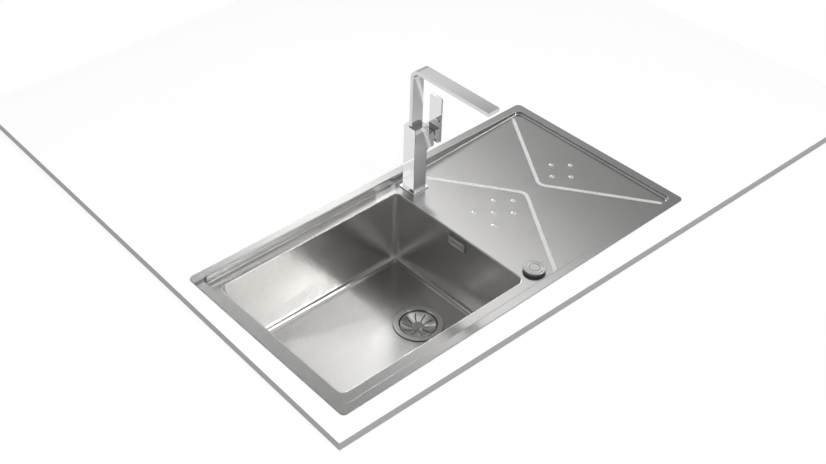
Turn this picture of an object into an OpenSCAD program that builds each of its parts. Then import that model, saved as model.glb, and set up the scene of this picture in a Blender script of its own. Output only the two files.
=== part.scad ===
// Inset kitchen sink with one bowl, a sloping drainer, a pop-up waste and a square lever tap
// The origin is the centre of the rim on the worktop: +X runs to the drainer, +Y to the back, +Z up

/* [Sink] */
// Overall length along the worktop
sink_l = 1000; // [960:10:1100]
// Overall depth from front to back
sink_w = 510; // [500:5:540]
// Height of the rim's top face over the worktop
rim_h = 2; // [1.6:0.1:3]
// Width of the rim, from its edge to the recess wall
rim_w = 21.5; // [19:0.5:25]
// Radius of the rim's outer corners
rim_corner_r = 11; // [6:1:20]
// Corner radius of the recess, seen from above
recess_r = 14; // [8:1:20]
// Bend radius from the rim into the recess
rim_bend_r = 2.5; // [1.8:0.1:4]
// Thickness of the pressed sheet
sheet_t = 1; // [0.8:0.1:1.2]
// Depth of the flat deck below the rim
deck_depth = 21; // [16:1:26]
// Depth of the drainer's far end below the rim
drainer_end_depth = 7; // [6:0.5:10]

/* [Bowl] */
// Length of the bowl inside
bowl_l = 500; // [440:10:520]
// Width of the bowl inside
bowl_w = 400; // [360:10:410]
// Depth of the bowl below the deck
bowl_depth = 200; // [180:5:230]
// Radius of the bowl's upright and floor corners
bowl_r = 15; // [10:1:25]
// Bend radius from the deck into the bowl
bowl_bend_r = 3; // [2:0.5:5]
// Ledge between the recess and the bowl on the left
ledge_left = 26; // [20:0.5:32]
// Ledge between the recess and the bowl at the back
ledge_back = 28.5; // [20:0.5:32]
// Fall of the floor from its edges to the waste
floor_fall = 4; // [3:0.5:6]
// Distance from the bowl's right wall to the waste's centre
waste_from_wall = 110; // [90:5:150]

/* [Drainer] */
// Distance from the bowl to the fold where the drainer starts to rise
fold_gap = 70.5; // [70:0.5:76]
// Width of the pressed grooves
groove_w = 7; // [5:0.5:9]
// Depth of the pressed grooves
groove_depth = 0.9; // [0.6:0.1:1.2]
// Angle of the groove arms to the sink's length
groove_angle = 57; // [52:1:60]
// Bend radius of each groove at its tip
groove_tip_r = 22; // [18:1:30]
// Distance from the fold to the tip of the left groove
left_tip = 147; // [145:0.5:151]
// Distance between the two groove tips
tip_gap = 43; // [36:1:50]
// Distance from the tip of the right groove to the recess wall
right_run = 170.5; // [165:0.5:176]
// Distance from the groove ends to the recess wall
groove_end_gap = 9; // [7:1:14]
// Pitch of the small raised dots
dot_pitch = 31; // [26:1:34]
// Width of one dot
dot_w = 7; // [5:0.5:9]
// Height of one dot
dot_h = 1.3; // [0.8:0.1:1.5]
// Distance from the fold to the first dot on the left
left_dots = 13.5; // [12:0.5:18]
// Distance from the right tip to the first dot on the right
right_dots = 45; // [40:1:60]

/* [Fixing] */
// Thickness of the worktop that the clips hold
worktop_t = 13; // [10:1:40]
// Gap between the recess wall and the edge of the worktop's opening
cutout_gap = 10.5; // [8:0.5:12]
// Width of one clip
clip_w = 20; // [16:1:26]
// Radius of the clip screws
clip_screw_r = 2.5; // [2:0.5:3]
// Clips along the front and along the back
clips_long = 3; // [2:1:5]
// Clips along each end
clips_short = 2; // [2:1:3]
// Distance of the outer clips from the recess corners
clip_inset = 80; // [60:5:120]

/* [Waste] */
// Radius of the flange that shows on the floor
flange_r = 59; // [57:1:62]
// Inner radius of the flange's throat
throat_r = 42.5; // [40:0.5:44]
// Wall of the throat
throat_wall = 2.5; // [2:0.1:3]
// Thickness of the flange plate
flange_t = 1.2; // [1:0.1:1.6]
// Slots in the strainer
slot_count = 10; // [8:1:12]
// Width of one strainer slot
slot_w = 2.4; // [1.6:0.1:3]
// Radius of the strainer's middle cap
cap_r = 12.5; // [11:0.5:14]
// Height that the strainer lifts when it opens
lift_h = 9; // [7:0.5:10]
// Outer radius of the threaded outlet
outlet_r = 24; // [20:0.5:25]
// Length of the threaded outlet
outlet_l = 25; // [18:1:35]
// Outer radius of the overflow pipe
pipe_r = 12.5; // [11:0.5:14]
// Wall of the plastic waste pieces
plastic_t = 2.5; // [2:0.1:3]

/* [Overflow] */
// Width of the plate in the bowl's wall
plate_w = 54; // [50:1:60]
// Height of that plate
plate_h = 27; // [25:0.5:32]
// Distance from the deck down to the plate
plate_drop = 13; // [10:1:20]
// How far the plate stands off the wall
plate_t = 2.5; // [2:0.1:4]
// Height of the water slot at the plate's top
overflow_slot_h = 5; // [4.4:0.1:6]

/* [Control knob] */
// Radius of the knob
knob_r = 25; // [20:1:27]
// Thickness of the knob's disc
knob_t = 4.2; // [3:0.1:5]
// Radius of the disc's sunken middle
knob_dish_r = 16; // [12:1:18]
// Turn of the knob that opens the waste
knob_turn = 90; // [60:5:120]
// Height of the base under the knob
knob_base_h = 4.5; // [3:0.1:6]
// Distance from the bowl to the knob's centre
knob_from_bowl = 40; // [34:1:44]
// Distance from the recess's front wall to the knob's centre
knob_from_front = 45; // [40:0.5:50]

/* [Tap] */
// Side of the square column
column_w = 38; // [34:1:42]
// Height of the column over its base plate
column_h = 171; // [150:1:190]
// Side of the square base plate
base_w = 48; // [46:1:52]
// Thickness of the base plate
base_t = 3; // [2:0.5:5]
// Distance from the bowl to the tap's centre
tap_from_bowl = 44.5; // [40:0.5:46]
// Distance from the recess's back wall to the tap's centre
tap_from_back = 38.5; // [34:0.5:42]
// Length of the side arm that holds the cartridge
arm_l = 21; // [18:1:24]
// Height of the arm's underside over the base plate
arm_z = 105; // [90:1:106]
// Radius of the fillet under the arm
arm_fillet_r = 8; // [5:1:10]
// Width of the flat spout
spout_w = 32; // [26:1:34]
// Thickness of the flat spout
spout_t = 9; // [8:0.5:11]
// Height of the spout over the column
spout_h = 153; // [120:1:180]
// Reach of the spout from the column's axis
spout_reach = 230; // [180:5:260]
// Outer radius of the spout's bend
spout_bend_r = 26; // [20:1:34]
// Radius of the aerator in the spout's underside
aerator_r = 9; // [8:0.5:10]
// Swing of the spout to each side
spout_swing = 90; // [60:5:110]
// Outer radius of the threaded shank under the deck
shank_r = 16; // [15:0.5:16.5]
// Length of the shank below the base plate
shank_l = 68; // [60:1:90]

/* [Lever] */
// Gap between the arm and the lever's hub
hub_gap = 3; // [2.6:0.1:4]
// Length of the hub along the arm's axis
hub_l = 16; // [14:1:20]
// Thickness of the lever plate
lever_t = 4; // [3:0.5:5]
// Height of the lever plate from the hub's underside
lever_h = 116; // [90:1:130]
// How far the hub's lower inner edge is cut back for the tilt
hub_cut = 9; // [9:0.5:11]
// Side of the square stem in the hub
stem_w = 8; // [7:0.5:9]

/* [Hidden] */
$fn = 64;

// Overrun of every cut
over = 1;
// Radial clearance of a running fit
fit = 0.05;
// Gap between pieces that only lie near each other
gap = 0.3;
// Extent of the half spaces that trim the sheet
big = 2 * sink_l;

// Sheet levels
rim_z = rim_h;
deck_z = rim_z - deck_depth;
end_z = rim_z - drainer_end_depth;
floor_z = deck_z - bowl_depth;
drain_z = floor_z - floor_fall;

// The recess, measured at the inner face of its wall
recess_l = sink_l - 2 * rim_w;
recess_w = sink_w - 2 * rim_w;
bowl_x = -recess_l / 2 + ledge_left + bowl_l / 2;
bowl_y = recess_w / 2 - ledge_back - bowl_w / 2;
bowl_right = bowl_x + bowl_l / 2;
fold_x = bowl_right + fold_gap;
slope = atan((end_z - deck_z) / (recess_l / 2 - fold_x));

// Grooves and dots are drawn in the plane of the drainer, with the fold at x = 0
groove_r = (pow(groove_w / 2, 2) + pow(groove_depth, 2)) / (2 * groove_depth);
groove_up = groove_r - groove_depth;

// The three lengths along the drainer are spread over its real length, and the rest follows
spread = (recess_l / 2 - fold_x) / (left_tip + tip_gap + right_run);
left_tip_x = spread * left_tip;
right_tip_x = spread * (left_tip + tip_gap);
arm_angle = atan(tan(groove_angle) / spread);
tip_back = groove_tip_r / sin(arm_angle);
dot_r = (pow(dot_w / 2, 2) + pow(dot_h, 2)) / (2 * dot_h);
dot_down = dot_r - dot_h;
dot_pitch_x = spread * dot_pitch;
left_dot_steps = [[0, 1], [0, -1], [2, 1], [2, -1], [1, 0], [3, 0]];
right_dot_steps = [[0, 0], [1, 1], [1, -1], [2, 0]];

// Clearance of a bolt or thread in its hole
hole_gap = 0.5;

// Fixing clips
bracket_t = 1.5;
bracket_top = -0.5;
bracket_h = 4.5;
bracket_clear = 1.5;
bracket_arm = cutout_gap - bracket_clear;
claw_t = 2;
claw_reach = rim_w - sheet_t - bracket_t;
claw_tooth = 3;
claw_low = -worktop_t - claw_tooth - claw_t;
clip_screw_x = (bracket_arm + bracket_t) / 2;
clip_head_r = 1.7 * clip_screw_r;
clip_head_h = 3;
clip_tip = 2;

// Rim seal
seal_w = 6;
seal_inset = 1.5;

// Sound pads
pad_t = 3;
pad_w = 200;
pad_h = 90;
pad_z = floor_z + bowl_depth / 2;
floor_pad_l = 300;
floor_pad_w = 260;
floor_pad_hole_r = 75;

// Waste, with heights measured from the drain's flat ring
waste_x = bowl_right - waste_from_wall;
waste_y = bowl_y;
drain_flat_edge = 2;
drain_flat_r = flange_r + drain_flat_edge;
flange_seal_t = 0.8;
flange_seal_lap = 1.5;
throat_out_r = throat_r + throat_wall;
drain_hole_r = throat_out_r + hole_gap;
flange_round = 3.5;
throat_depth = 32;
seat_ledge = 5;
seat_r = throat_r - seat_ledge;
seat_z = -19;
seat_t = 2;
waste_seal_t = 2;
waste_top = -sheet_t - waste_seal_t;
body_flange_r = 58;
body_flange_t = 5;
cup_in_r = throat_out_r + fit;
cup_wall = 3.5;
cup_out_r = cup_in_r + cup_wall;
cup_depth = 42;
cup_low = waste_top - cup_depth;
cone_depth = 30;
cone_low = cup_low - cone_depth;
outlet_wall = 3.5;
port_z = -26;
port_l = 30;
port_r = pipe_r + plastic_t + fit;
port_end = waste_x + cup_out_r + port_l;
socket_depth = 14;
boss_r = 8;
boss_in = 14;
boss_out = 9;
boss_end = waste_y - cup_out_r - boss_out;

// Strainer
strainer_gap = 1;
strainer_r = throat_r - strainer_gap;
strainer_t = 1.2;
strainer_top = -2;
dish_edge = 2;
dish_in_r = cap_r + dish_edge;
dish_out_r = strainer_r - strainer_t;
dish_r = 84;
dish_flat = sqrt(pow(dish_r, 2) - pow(dish_in_r, 2));
dish_rise = dish_flat - sqrt(pow(dish_r, 2) - pow(dish_out_r, 2));
dish_low = strainer_top - strainer_t - dish_rise;
slot_in_gap = 4;
slot_in_r = cap_r + slot_in_gap;
slot_out_gap = 5;
slot_out_r = strainer_r - slot_out_gap;
slot_arc_r = 60;
slot_turn = -9;
cap_h = 6;
ring_t = 2.5;
ring_foot = 2;
stem_r = 4;
stem_foot_z = -50;

// Lifter under the strainer
crank_l = 12;
crank_half = asin(lift_h / 2 / crank_l);
crank_ball_r = 3;
shaft_r = 3;
shaft_z = stem_foot_z - crank_ball_r - gap + crank_l * sin(crank_half);
shaft_x = waste_x - crank_l * cos(crank_half);
drum_r = 16;
drum_t = 5;
drum_gap = 0.6;
cover_wall = 1.5;
gland_r = 4;
gland_l = 14;
cable_r = 1.2;
groove_cut = 1.5;

// Overflow
plate_z = deck_z - plate_drop - plate_h / 2;
frame_edge = 4;
panel_sink = 1;
panel_gap = 2;
plate_lap_w = 5;
plate_lap_h = 4;
wall_hole_w = plate_w - 2 * plate_lap_w;
wall_hole_h = plate_h - 2 * plate_lap_h;
plate_corner_r = 2;
leg_t = 2;
leg_w = 5;
overflow_seal_t = 2;
elbow_lap = 3;
elbow_w = plate_w + 2 * elbow_lap;
elbow_h = plate_h + 2 * elbow_lap;
elbow_d = 38;
elbow_x = bowl_right + sheet_t + overflow_seal_t;
pipe_x = elbow_x + elbow_d / 2;
spigot_l = 22;
spigot_z = plate_z - elbow_h / 2 - spigot_l;
pipe_wall = 2;
pipe_bend_r = 30;
pipe_low_z = drain_z + port_z;
nut_h = 11;
nut_t = 3;
nut_ribs = 12;
nut_rib = 1;

// Control knob
knob_x = bowl_right + knob_from_bowl;
knob_y = -recess_w / 2 + knob_from_front;
knob_overhang = 4;
knob_base_r = knob_r - knob_overhang;
knob_seal_t = 0.5;
knob_seal_edge = 1;
knob_base_z = deck_z + knob_seal_t;
knob_z = knob_base_z + knob_base_h + gap;
knob_dish = 0.8;
knob_edge_r = 1.2;
sleeve_r = 14;
sleeve_l = 26;
sleeve_low = knob_base_z - sleeve_l;
knob_hole_r = sleeve_r + hole_gap;
spindle_r = 4;
knob_nut_r = 19;
knob_nut_h = 6;
cable_drum_r = drum_r * 2 * crank_half / knob_turn;
cable_drum_h = 8;
housing_r = 18;
housing_wall = 2;
housing_h = 24;
housing_lap = 4;
housing_low = sleeve_low + housing_lap - housing_h;
pointer_w = 2.4;
pointer_l = 6;
pointer_turn = -90;

// Tap
tap_x = bowl_right + tap_from_bowl;
tap_y = recess_w / 2 - tap_from_back;
tap_gasket_t = 1;
tap_gasket_edge = 1;
plate_edge_r = 1;
base_z = deck_z + tap_gasket_t;
column_z = base_z + base_t;
column_top = column_z + column_h;
column_edge_r = 1;
tap_hole_gap = 1.5;
tap_hole_r = shank_r + tap_hole_gap;
base_hole_r = shank_r + hole_gap;
shank_wall = 4;
shank_in_r = shank_r - shank_wall;
shank_lap = 10;
spigot_r = 8;
spigot_h = 30;
disc_r = 10;
disc_t = 2;
oring_r = 1.1;
oring_drops = [7, 24];
lock_drop = 15.5;
lock_r = 2;
lock_groove = 1;
lock_l = 9;
lock_angle = spout_swing + asin(lock_r / (spigot_r - lock_groove)) + 1;
shank_seal_t = 3;
washer_t = 3;
washer_r = 25;
nut_across_r = 22;
shank_nut_h = 12;

// Arm and cartridge, along the arm's axis
arm_end = tap_x + column_w / 2 + arm_l;
arm_axis_z = column_z + arm_z + column_w / 2;
bore_r = 15;
bore_depth = 37;
nut_ring_t = 3;
nut_in_r = 10;
cartridge_l = 33;
cartridge_r = bore_r - fit;
carrier_r = 11;
carrier_l = 17;
carrier_play = 1;
carrier_slot = 18;
carrier_floor = 4;
port_hole_r = 2.5;
port_hole_off = 6;
channel_r = 2.8;
inlet_r = 4.5;
inlet_l = 12;
inlet_y = port_hole_off * cos(30);
pivot_back = 6;
pivot_x = arm_end - pivot_back;
pin_r = 1.5;
pin_short = 1;
stem_in = 8;

// Lever
hub_x = arm_end + hub_gap;
plate_x = hub_x + hub_l;
hub_z = arm_axis_z - column_w / 2;
hub_cut_drop = 1;
hub_cut_h = column_w / 2 - hub_cut_drop;
stem_end_gap = 1;
stem_end = plate_x - stem_end_gap;
lever_screw_r = 2;
lever_screw_l = 9;
lever_cap_h = 2;
lever_screw_back = 3.5;
lever_screw_x = plate_x - lever_screw_back;

// Spout
spout_wall = 2;
aerator_back = 16;
aerator_h = 3;
aerator_hole_r = 0.9;
aerator_rings = [[1, 0], [6, 1 / 3], [12, 2 / 3]];

// Rectangle with round corners
module rounded(l, w, r) {
    square([l - 2 * r, w], center = true);
    square([l, w - 2 * r], center = true);
    for (x = [-1, 1], y = [-1, 1])
        translate([x * (l / 2 - r), y * (w / 2 - r)])
            circle(r);
}

// Upright prism with round corners between two heights
module prism(l, w, r, z0, z1) {
    translate([0, 0, z0])
        linear_extrude(z1 - z0)
            rounded(l, w, r);
}

// Sweeps a profile round a rectangle: the profile's x points outward from the rectangle's edge
module swept_frame(l, w, r) {
    for (turn = [0 : 3]) {
        across = turn % 2 == 0 ? l : w;
        along = turn % 2 == 0 ? w : l;
        rotate(turn * 90) {
            translate([across / 2, along / 2 - r, 0])
                rotate([90, 0, 0])
                    linear_extrude(along - 2 * r)
                        children();
            translate([across / 2 - r, along / 2 - r, 0])
                rotate_extrude(angle = 90)
                    translate([r, 0])
                        children();
        }
    }
}

// Quarter of a ring of sheet in one quadrant, set by the signs in side
module quarter_bend(outer, t, side) {
    intersection() {
        difference() {
            circle(outer);
            circle(outer - t);
        }
        translate([side[0] < 0 ? -outer : 0, side[1] < 0 ? -outer : 0])
            square(outer);
    }
}

// Tube along z
module tube(r_out, r_in, h) {
    difference() {
        cylinder(h = h, r = r_out);
        translate([0, 0, -over])
            cylinder(h = h + 2 * over, r = r_in);
    }
}

// Puts a piece on a centre with its own zero height
module at_waste() {
    translate([waste_x, waste_y, drain_z])
        children();
}

module at_knob(z) {
    translate([knob_x, knob_y, z])
        children();
}

module at_tap(z) {
    translate([tap_x, tap_y, z])
        children();
}

// Puts a piece on the arm's axis, with its z along that axis from x
module on_arm(x) {
    translate([x, tap_y, arm_axis_z])
        rotate([0, 90, 0])
            children();
}

// Outline of the deck seen from the front, dropped by a distance
module deck_outline(drop) {
    half = recess_l / 2 + sheet_t;
    reach = half + over;
    rise = (end_z - deck_z) * (reach - fold_x) / (recess_l / 2 - fold_x);
    polygon([
        [-reach, rim_z - rim_bend_r], [-reach, deck_z - drop], [fold_x, deck_z - drop],
        [reach, deck_z + rise - drop], [reach, rim_z - rim_bend_r]
    ]);
}

// Everything above the deck's top face, or above its underside, up to the rim bend
module above_deck(drop) {
    translate([0, sink_w / 2, 0])
        rotate([90, 0, 0])
            linear_extrude(sink_w)
                deck_outline(drop);
}

module on_drainer() {
    translate([fold_x, bowl_y, deck_z])
        rotate([0, -slope, 0])
            children();
}

// Length of a groove arm up to the recess wall on one side
function arm_run(side) =
    (recess_w / 2 - side * bowl_y - groove_end_gap - groove_tip_r * sin(90 - arm_angle))
    / sin(arm_angle);

// Pair of groove arms with a round tip that points to +x or -x
module groove_tool(tip, point, r) {
    translate([tip - point * tip_back, 0, groove_up]) {
        rotate(point > 0 ? -(90 - arm_angle) : 90 + arm_angle)
            rotate_extrude(angle = 2 * (90 - arm_angle))
                translate([groove_tip_r, 0])
                    circle(r);
        for (side = [-1, 1])
            translate([
                point * groove_tip_r * cos(90 - arm_angle),
                side * groove_tip_r * sin(90 - arm_angle),
                0
            ])
                rotate(side * (90 + point * (90 - arm_angle)))
                    rotate([0, 90, 0]) {
                        cylinder(h = arm_run(side), r = r);
                        translate([0, 0, arm_run(side)])
                            sphere(r);
                    }
    }
}

module grooves(r) {
    groove_tool(left_tip_x, 1, r);
    groove_tool(right_tip_x, -1, r);
}

module dots(r) {
    for (step = left_dot_steps)
        translate([spread * left_dots + step[0] * dot_pitch_x, step[1] * dot_pitch, -dot_down])
            sphere(r);
    for (step = right_dot_steps)
        translate([
            right_tip_x + spread * right_dots + step[0] * dot_pitch_x,
            step[1] * dot_pitch,
            -dot_down
        ])
            sphere(r);
}

// Slab on one face of the drainer, as thick as the pressed forms need
module drainer_slab(z0, z1) {
    translate([0, -recess_w, z0])
        cube([recess_l, 2 * recess_w, z1 - z0]);
}

module pressed_sheet() {
    difference() {
        intersection() {
            prism(recess_l + 2 * sheet_t, recess_w + 2 * sheet_t, recess_r + sheet_t,
                deck_z - 2 * sheet_t, rim_z - rim_bend_r);
            above_deck(sheet_t);
        }
        intersection() {
            prism(recess_l, recess_w, recess_r, deck_z - sheet_t, rim_z);
            above_deck(0);
        }
    }
}

module sink_deck() {
    color("silver") {
        difference() {
            union() {
                pressed_sheet();
                on_drainer() {
                    intersection() {
                        grooves(groove_r + sheet_t);
                        drainer_slab(-groove_depth - 2 * sheet_t, -sheet_t / 2);
                    }
                    intersection() {
                        dots(dot_r);
                        drainer_slab(-sheet_t / 2, dot_h + sheet_t);
                    }
                }
            }
            on_drainer() {
                grooves(groove_r);
                dots(dot_r - sheet_t);
            }
            translate([bowl_x, bowl_y, 0])
                prism(bowl_l + 2 * bowl_bend_r, bowl_w + 2 * bowl_bend_r, bowl_r + bowl_bend_r,
                    deck_z - 2 * sheet_t, deck_z + over);
            at_tap(deck_z - 2 * sheet_t)
                cylinder(h = 3 * sheet_t, r = tap_hole_r);
            at_knob(deck_z - 2 * sheet_t)
                cylinder(h = 3 * sheet_t, r = knob_hole_r);
        }
        translate([0, 0, rim_z - rim_bend_r])
            swept_frame(recess_l, recess_w, recess_r)
                translate([rim_bend_r, 0])
                    quarter_bend(rim_bend_r, sheet_t, [-1, 1]);
        difference() {
            prism(sink_l, sink_w, rim_corner_r, 0, rim_z);
            prism(sink_l - 2 * sheet_t, sink_w - 2 * sheet_t, rim_corner_r - sheet_t,
                -over, rim_z - sheet_t);
            prism(recess_l + 2 * rim_bend_r, recess_w + 2 * rim_bend_r, recess_r + rim_bend_r,
                -over, rim_z + over);
        }
    }
}

// Half of the bowl's profile, from the deck bend down to the floor
module bowl_profile() {
    translate([bowl_bend_r, deck_z - bowl_bend_r])
        quarter_bend(bowl_bend_r, sheet_t, [-1, 1]);
    translate([0, floor_z + bowl_r])
        square([sheet_t, bowl_depth - bowl_bend_r - bowl_r]);
    translate([-bowl_r, floor_z + bowl_r])
        quarter_bend(bowl_r + sheet_t, sheet_t, [1, -1]);
}

// Shallow funnel from the floor's edges down to the flat ring round the waste
module floor_funnel(top, drop) {
    hull() {
        translate([bowl_x, bowl_y, floor_z - drop])
            linear_extrude(top + drop)
                square([bowl_l - 2 * bowl_r, bowl_w - 2 * bowl_r], center = true);
        translate([waste_x, waste_y, drain_z - drop])
            cylinder(h = top + drop, r = drain_flat_r, $fn = 32);
    }
}

module bowl() {
    color("gainsboro")
        difference() {
            union() {
                translate([bowl_x, bowl_y, 0])
                    swept_frame(bowl_l, bowl_w, bowl_r)
                        bowl_profile();
                difference() {
                    floor_funnel(0, sheet_t);
                    floor_funnel(over, 0);
                }
            }
            at_waste()
                translate([0, 0, -2 * sheet_t])
                    cylinder(h = 3 * sheet_t, r = drain_hole_r);
            translate([bowl_right - over, bowl_y - wall_hole_w / 2, plate_z - wall_hole_h / 2])
                cube([sheet_t + 2 * over, wall_hole_w, wall_hole_h]);
        }
}

module rim_seal() {
    inset = sheet_t + seal_inset + seal_w;
    color("dimgray")
        swept_frame(sink_l - 2 * inset, sink_w - 2 * inset, rim_corner_r - sheet_t)
            square([seal_w, rim_z - sheet_t]);
}

// Repeats a piece at each clip: its x points outward from the recess wall's outer face
module each_clip() {
    half_l = recess_l / 2 + sheet_t;
    half_w = recess_w / 2 + sheet_t;
    for (i = [0 : clips_short - 1], end = [0, 180])
        rotate(end)
            translate([half_l, (2 * i / (clips_short - 1) - 1) * (half_w - clip_inset), 0])
                children();
    for (i = [0 : clips_long - 1], end = [90, 270])
        rotate(end)
            translate([half_w, (2 * i / (clips_long - 1) - 1) * (half_l - clip_inset), 0])
                children();
}

module clip_brackets() {
    color("gray")
        each_clip()
            difference() {
                translate([0, clip_w / 2, bracket_top])
                    rotate([90, 0, 0])
                        linear_extrude(clip_w)
                            polygon([
                                [0, 0], [bracket_t, 0], [bracket_t, bracket_t - bracket_h],
                                [bracket_arm, bracket_t - bracket_h], [bracket_arm, -bracket_h],
                                [0, -bracket_h]
                            ]);
                translate([clip_screw_x, 0, bracket_top - 2 * bracket_h])
                    cylinder(h = 3 * bracket_h, r = clip_screw_r + fit);
            }
}

module clip_claws() {
    color("gray")
        each_clip()
            difference() {
                translate([0, clip_w / 2, claw_low])
                    rotate([90, 0, 0])
                        linear_extrude(clip_w)
                            polygon([
                                [bracket_t, 0], [claw_reach, 0], [claw_reach, claw_t + claw_tooth],
                                [claw_reach - claw_t, claw_t + claw_tooth],
                                [claw_reach - claw_t, claw_t], [bracket_t, claw_t]
                            ]);
                translate([clip_screw_x, 0, claw_low - over])
                    cylinder(h = claw_t + 2 * over, r = clip_screw_r + fit);
            }
}

module clip_screws() {
    low = claw_low - clip_head_h;
    top = bracket_top - bracket_h + bracket_t + clip_tip;
    color("lightgray")
        each_clip()
            translate([clip_screw_x, 0, low]) {
                cylinder(h = clip_head_h, r = clip_head_r, $fn = 6);
                cylinder(h = top - low, r = clip_screw_r);
            }
}

// Sheets of damping material glued under the floor and on the upright walls
module sound_pads() {
    color("darkslategray") {
        difference() {
            intersection() {
                floor_funnel(0, sheet_t + pad_t);
                translate([bowl_x, bowl_y, drain_z - 2 * pad_t - sheet_t])
                    linear_extrude(floor_fall + 3 * pad_t + sheet_t)
                        rounded(floor_pad_l, floor_pad_w, bowl_r);
            }
            floor_funnel(over, sheet_t);
            at_waste()
                translate([0, 0, -floor_pad_hole_r])
                    cylinder(h = 2 * floor_pad_hole_r, r = floor_pad_hole_r);
        }
        for (side = [-1, 1])
            translate([bowl_x, bowl_y + side * (bowl_w / 2 + sheet_t + pad_t / 2), pad_z])
                cube([pad_w, pad_t, pad_h], center = true);
        translate([bowl_x - bowl_l / 2 - sheet_t - pad_t / 2, bowl_y, pad_z])
            cube([pad_t, pad_w, pad_h], center = true);
    }
}

module flange_seal() {
    color("black")
        at_waste()
            tube(flange_r - flange_seal_lap, drain_hole_r, flange_seal_t);
}

module waste_flange() {
    low = flange_seal_t;
    top = flange_seal_t + flange_t;
    color("silver")
        at_waste()
            difference() {
                rotate_extrude()
                    polygon([
                        [throat_out_r, low], [flange_r, low], [flange_r, top - flange_t / 2],
                        [flange_r - flange_t / 2, top], [throat_r + flange_round, top],
                        [throat_r, strainer_top], [throat_r, seat_z], [seat_r, seat_z],
                        [seat_r, seat_z - seat_t], [throat_r, seat_z - 2 * seat_t],
                        [throat_r, -throat_depth], [throat_out_r, -throat_depth]
                    ]);
            }
}

module waste_seal() {
    color("black")
        at_waste()
            translate([0, 0, waste_top])
                tube(body_flange_r - flange_seal_lap, throat_out_r + gap, waste_seal_t);
}

// Cup under the drain with a cone to the threaded outlet and the overflow's port
module waste_body() {
    outlet_in_r = outlet_r - outlet_wall;
    color("whitesmoke")
        difference() {
            union() {
                at_waste()
                    rotate_extrude()
                        polygon([
                            [0, waste_top], [body_flange_r, waste_top],
                            [body_flange_r, waste_top - body_flange_t],
                            [cup_out_r, waste_top - body_flange_t], [cup_out_r, cup_low],
                            [outlet_r, cone_low], [outlet_r, cone_low - outlet_l],
                            [0, cone_low - outlet_l]
                        ]);
                translate([port_end, waste_y, pipe_low_z])
                    rotate([0, -90, 0])
                        cylinder(h = port_l + 2 * cup_wall, r = port_r);
                translate([shaft_x, boss_end, drain_z + shaft_z])
                    rotate([-90, 0, 0])
                        cylinder(h = boss_out + boss_in, r = boss_r);
            }
            at_waste()
                rotate_extrude()
                    polygon([
                        [0, waste_top + over], [cup_in_r, waste_top + over], [cup_in_r, cup_low],
                        [outlet_in_r, cone_low], [outlet_in_r, cone_low - outlet_l - over],
                        [0, cone_low - outlet_l - over]
                    ]);
            translate([waste_x, waste_y, pipe_low_z])
                rotate([0, 90, 0])
                    cylinder(h = 2 * cup_out_r, r = pipe_r - pipe_wall);
            translate([port_end + over, waste_y, pipe_low_z])
                rotate([0, -90, 0])
                    cylinder(h = socket_depth + over, r = pipe_r + fit);
            translate([shaft_x, boss_end - over, drain_z + shaft_z])
                rotate([-90, 0, 0])
                    cylinder(h = boss_out + boss_in + 2 * over, r = shaft_r + fit);
        }
}

// Slot that starts radially at the cap and curves clockwise on its way out
module strainer_slot() {
    sweep = asin((slot_out_r - slot_in_r) / slot_arc_r);
    translate([slot_in_r, -slot_arc_r, 2 * dish_low])
        rotate(90 - sweep)
            rotate_extrude(angle = sweep)
                translate([slot_arc_r - slot_w / 2, 0])
                    square([slot_w, -2 * dish_low]);
}

// Round dish with a flat middle, a bead round its edge and the curved slots
module strainer() {
    color("silver")
        at_waste()
            difference() {
                rotate_extrude() {
                    intersection() {
                        translate([0, dish_low + strainer_t + dish_flat])
                            difference() {
                                circle(dish_r + strainer_t);
                                circle(dish_r);
                            }
                        translate([dish_in_r, dish_low])
                            square([dish_out_r - dish_in_r, -dish_low]);
                    }
                    translate([stem_r + fit, dish_low])
                        square([dish_in_r - stem_r - fit, strainer_t]);
                    translate([dish_out_r, strainer_top - strainer_t / 2])
                        circle(strainer_t);
                }
                for (i = [0 : slot_count - 1])
                    rotate(slot_turn + i * 360 / slot_count)
                        strainer_slot();
            }
}

module strainer_cap() {
    low = dish_low + strainer_t;
    color("silver")
        at_waste()
            rotate_extrude()
                polygon([
                    [0, low], [cap_r - strainer_t, low], [cap_r - strainer_t, low + cap_h / 2],
                    [cap_r, low + cap_h / 2], [cap_r, low + cap_h - strainer_t],
                    [cap_r - strainer_t, low + cap_h], [0, low + cap_h]
                ]);
}

module strainer_seal() {
    color("black")
        at_waste()
            translate([0, 0, seat_z + gap])
                rotate_extrude()
                    polygon([
                        [seat_r + strainer_gap, 0], [strainer_r, 0], [strainer_r, ring_t],
                        [seat_r + 2 * strainer_gap, ring_t]
                    ]);
}

// Rod under the cap, with the arms that carry the seal
module strainer_stem() {
    arm_top = seat_z + gap + ring_t;
    color("gainsboro")
        at_waste()
            union() {
                translate([0, 0, stem_foot_z])
                    cylinder(h = dish_low + strainer_t - stem_foot_z, r = stem_r);
                translate([0, 0, arm_top])
                    tube(strainer_r, seat_r - ring_foot, strainer_t);
                for (i = [0 : 2])
                    rotate(i * 120)
                        translate([0, -stem_r / 2, arm_top])
                            cube([seat_r, stem_r, strainer_t]);
            }
}

// Shaft through the cup's wall, with the crank that pushes the stem up
module lifter_shaft() {
    inner = waste_y + stem_r;
    outer = boss_end - cover_wall - drum_gap / 2 - drum_t;
    color("gray")
        translate([shaft_x, 0, drain_z + shaft_z]) {
            translate([0, inner, 0])
                rotate([90, 0, 0])
                    cylinder(h = inner - outer, r = shaft_r);
            translate([0, waste_y, 0])
                rotate([0, crank_half, 0]) {
                    translate([0, -stem_r / 2, -shaft_r / 2])
                        cube([crank_l, stem_r, shaft_r]);
                    translate([crank_l, 0, 0])
                        sphere(crank_ball_r);
                }
        }
}

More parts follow.
